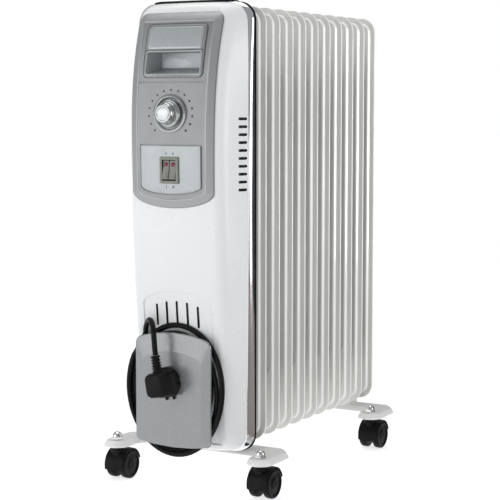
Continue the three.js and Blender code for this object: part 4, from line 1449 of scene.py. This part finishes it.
def make_filler_plug():
    """The hexagonal plug in the last fin's upper header."""
    face = FIRST_FIN + FIN_PITCH * (FIN_COUNT - 1) + LAST_CAP
    profile = [(0, face - 1), (6, face - 1), (6, face + 0.3), (9, face + 0.4), (9, face + 3.3),
               (8.2, face + 3.9), (0, face + 4)]
    bolt = turned(profile, lying(0, UPPER_Z), sides=72, wave=hexagonal(7.5), crease=25)
    piece("filler_bolt", bolt, "steel", stands_for=["filler_plug"])


# ---------------------------------------------------------------- castors
# The CAD wheel is a twenty-sided disc of radius 19.5, and this is as far as its flats reach.
WHEEL_RADIUS = 19.5 * math.cos(math.pi / 20)
TRAIL = 12


def make_castor(corner, x, s):
    """The bolt and its dome nut, then the body and the two wheels."""
    def about_axle(a, b, along):
        return place(x + along, s + TRAIL + a, WHEEL_RADIUS + b)

    top = BRACKET_TOP
    profile = [(0, 24), (2.8, 24.2), (2.8, top + 0.2), (7.4, top + 0.3), (8, top + 0.9),
               (8, top + 3.4), (7.3, top + 4), (6.5, top + 4.1), (6.4, top + 5.6),
               (5.9, top + 7.4), (4.9, top + 9), (3.4, top + 10.2), (1.7, top + 10.8),
               (0, top + 10.9)]
    bolt = turned(profile, upright(x, s), sides=72, wave=hexagonal(6.9), crease=28)
    piece(f"castor_bolt_{corner}_head", bolt, "chrome_bolt", stands_for=[f"castor_bolt_{corner}"])
    make_castor_body(corner, about_axle, upright(x, s))
    for side, offset in (("left", -10.5), ("right", 10.5)):
        make_wheel(corner, side, offset, about_axle)


def castor_hood(about_axle):
    """The open half ring over both wheels."""
    inner, outer, half = 20.4, 22.2, 15.1
    section = [(inner, -half + 0.4), (outer - 0.7, -half), (outer - 0.15, -half + 0.5),
               (outer, -half + 1.3), (outer + 0.25, 0), (outer, half - 1.3),
               (outer - 0.15, half - 0.5), (outer - 0.7, half), (inner, half - 0.4)]
    mesh = bmesh.new()
    rows = []
    for radius, across in section:
        rows.append([mesh.verts.new(about_axle(a, b, across))
                     for a, b in arc(0, 0, radius, radius, 15, 195, 36)])
    for first, second in zip(rows, [*rows[1:], rows[0]]):
        for i in range(len(first) - 1):
            mesh.faces.new((first[i], first[i + 1], second[i + 1], second[i]))
    mesh.faces.new([row[0] for row in rows])
    mesh.faces.new([row[-1] for row in rows])
    return to_mesh(mesh, 40)


def make_castor_body(corner, about_axle, about_bolt):
    """The hood over both wheels, the web between them and the collar on top."""
    def web_outline(inset=0):
        return arc(0, 0, 20.8 - inset, 20.8 - inset, -22, 202, 40)
    web = relief(web_outline, [(0.5, -2.4), (0, -1.9), (0, 1.9), (0.5, 2.4)], about_axle)
    profile = [(0, 37.5), (8.6, 37.5), (8.4, 40.5), (8, 42.5), (7.6, 44.4), (6.8, 45),
               (3.4, 45), (0, 45)]
    collar = turned(profile, about_bolt, sides=40)
    profile = [(0, -14.9), (2.2, -14.8), (2.8, -14.2), (2.8, 14.2), (2.2, 14.8), (0, 14.9)]
    axle = turned(profile, about_axle, sides=32)
    column = relief(rounded(-4.9, 4.9, -5.5, 5.5, 1.2, 4), [(0, 21.5), (0, 40)], about_bolt)
    body = joined(castor_hood(about_axle), web, collar, axle, column)
    piece(f"castor_body_{corner}_hood", body, "castor_black", body=f"castor_{corner}",
          stands_for=[f"castor_body_{corner}"])


def make_wheel(corner, side, offset, about_axle):
    """A wheel with a rounded tread, a dished disc and a hub."""
    outward = 1 if offset > 0 else -1
    r, half = WHEEL_RADIUS, 5
    section = [(3.2, -half), (r - 3, -half), (r - 1.2, -half + 0.35), (r - 0.35, -half + 1.2),
               (r, -half + 2.6), (r, half - 2.6), (r - 0.35, half - 1.2), (r - 1.2, half - 0.35),
               (r - 2.2, half), (r - 3.2, half), (r - 3.9, half - 0.5), (r - 4.3, half - 1.6),
               (7.4, half - 1.9), (6.6, half - 1.4), (6, half - 0.2), (5.2, half), (3.6, half),
               (3.2, half - 0.4)]
    rings = [[(a, b, offset + outward * across) for a, b in circle(radius, 60)]
             for radius, across in section]
    wheel = loop_body(rings, where=about_axle, crease=36)
    node = f"castor_wheel_{corner}_{side}"
    piece(f"{node}_tread", wheel, "castor_black", body=f"wheel_{corner}_{side}", stands_for=[node])


# ---------------------------------------------------------------- assembly
plug_piece = make_plug()
gland_piece = make_gland()
make_cord()
aim(fin_strip, make_fins(), "INCLUDE")
make_filler_plug()
make_housing()
make_trim()
make_rear_frame()
make_handle()
make_panel()
make_handle_cup()
make_blank_plate()
make_switch_plate()
make_dial()
make_knob()
make_switch_body()
make_rocker(-1, "rocker_left")
make_rocker(1, "rocker_right")
make_marks()
make_cover()
make_hub()
for foot, foot_axis in (("front", 0), ("rear", REAR_CASTOR)):
    make_bracket(foot, foot_axis)
    make_clamp(foot, foot_axis)
    for hand, hand_x in (("left", -CASTOR_X), ("right", CASTOR_X)):
        make_castor(f"{foot}_{hand}", hand_x, foot_axis)
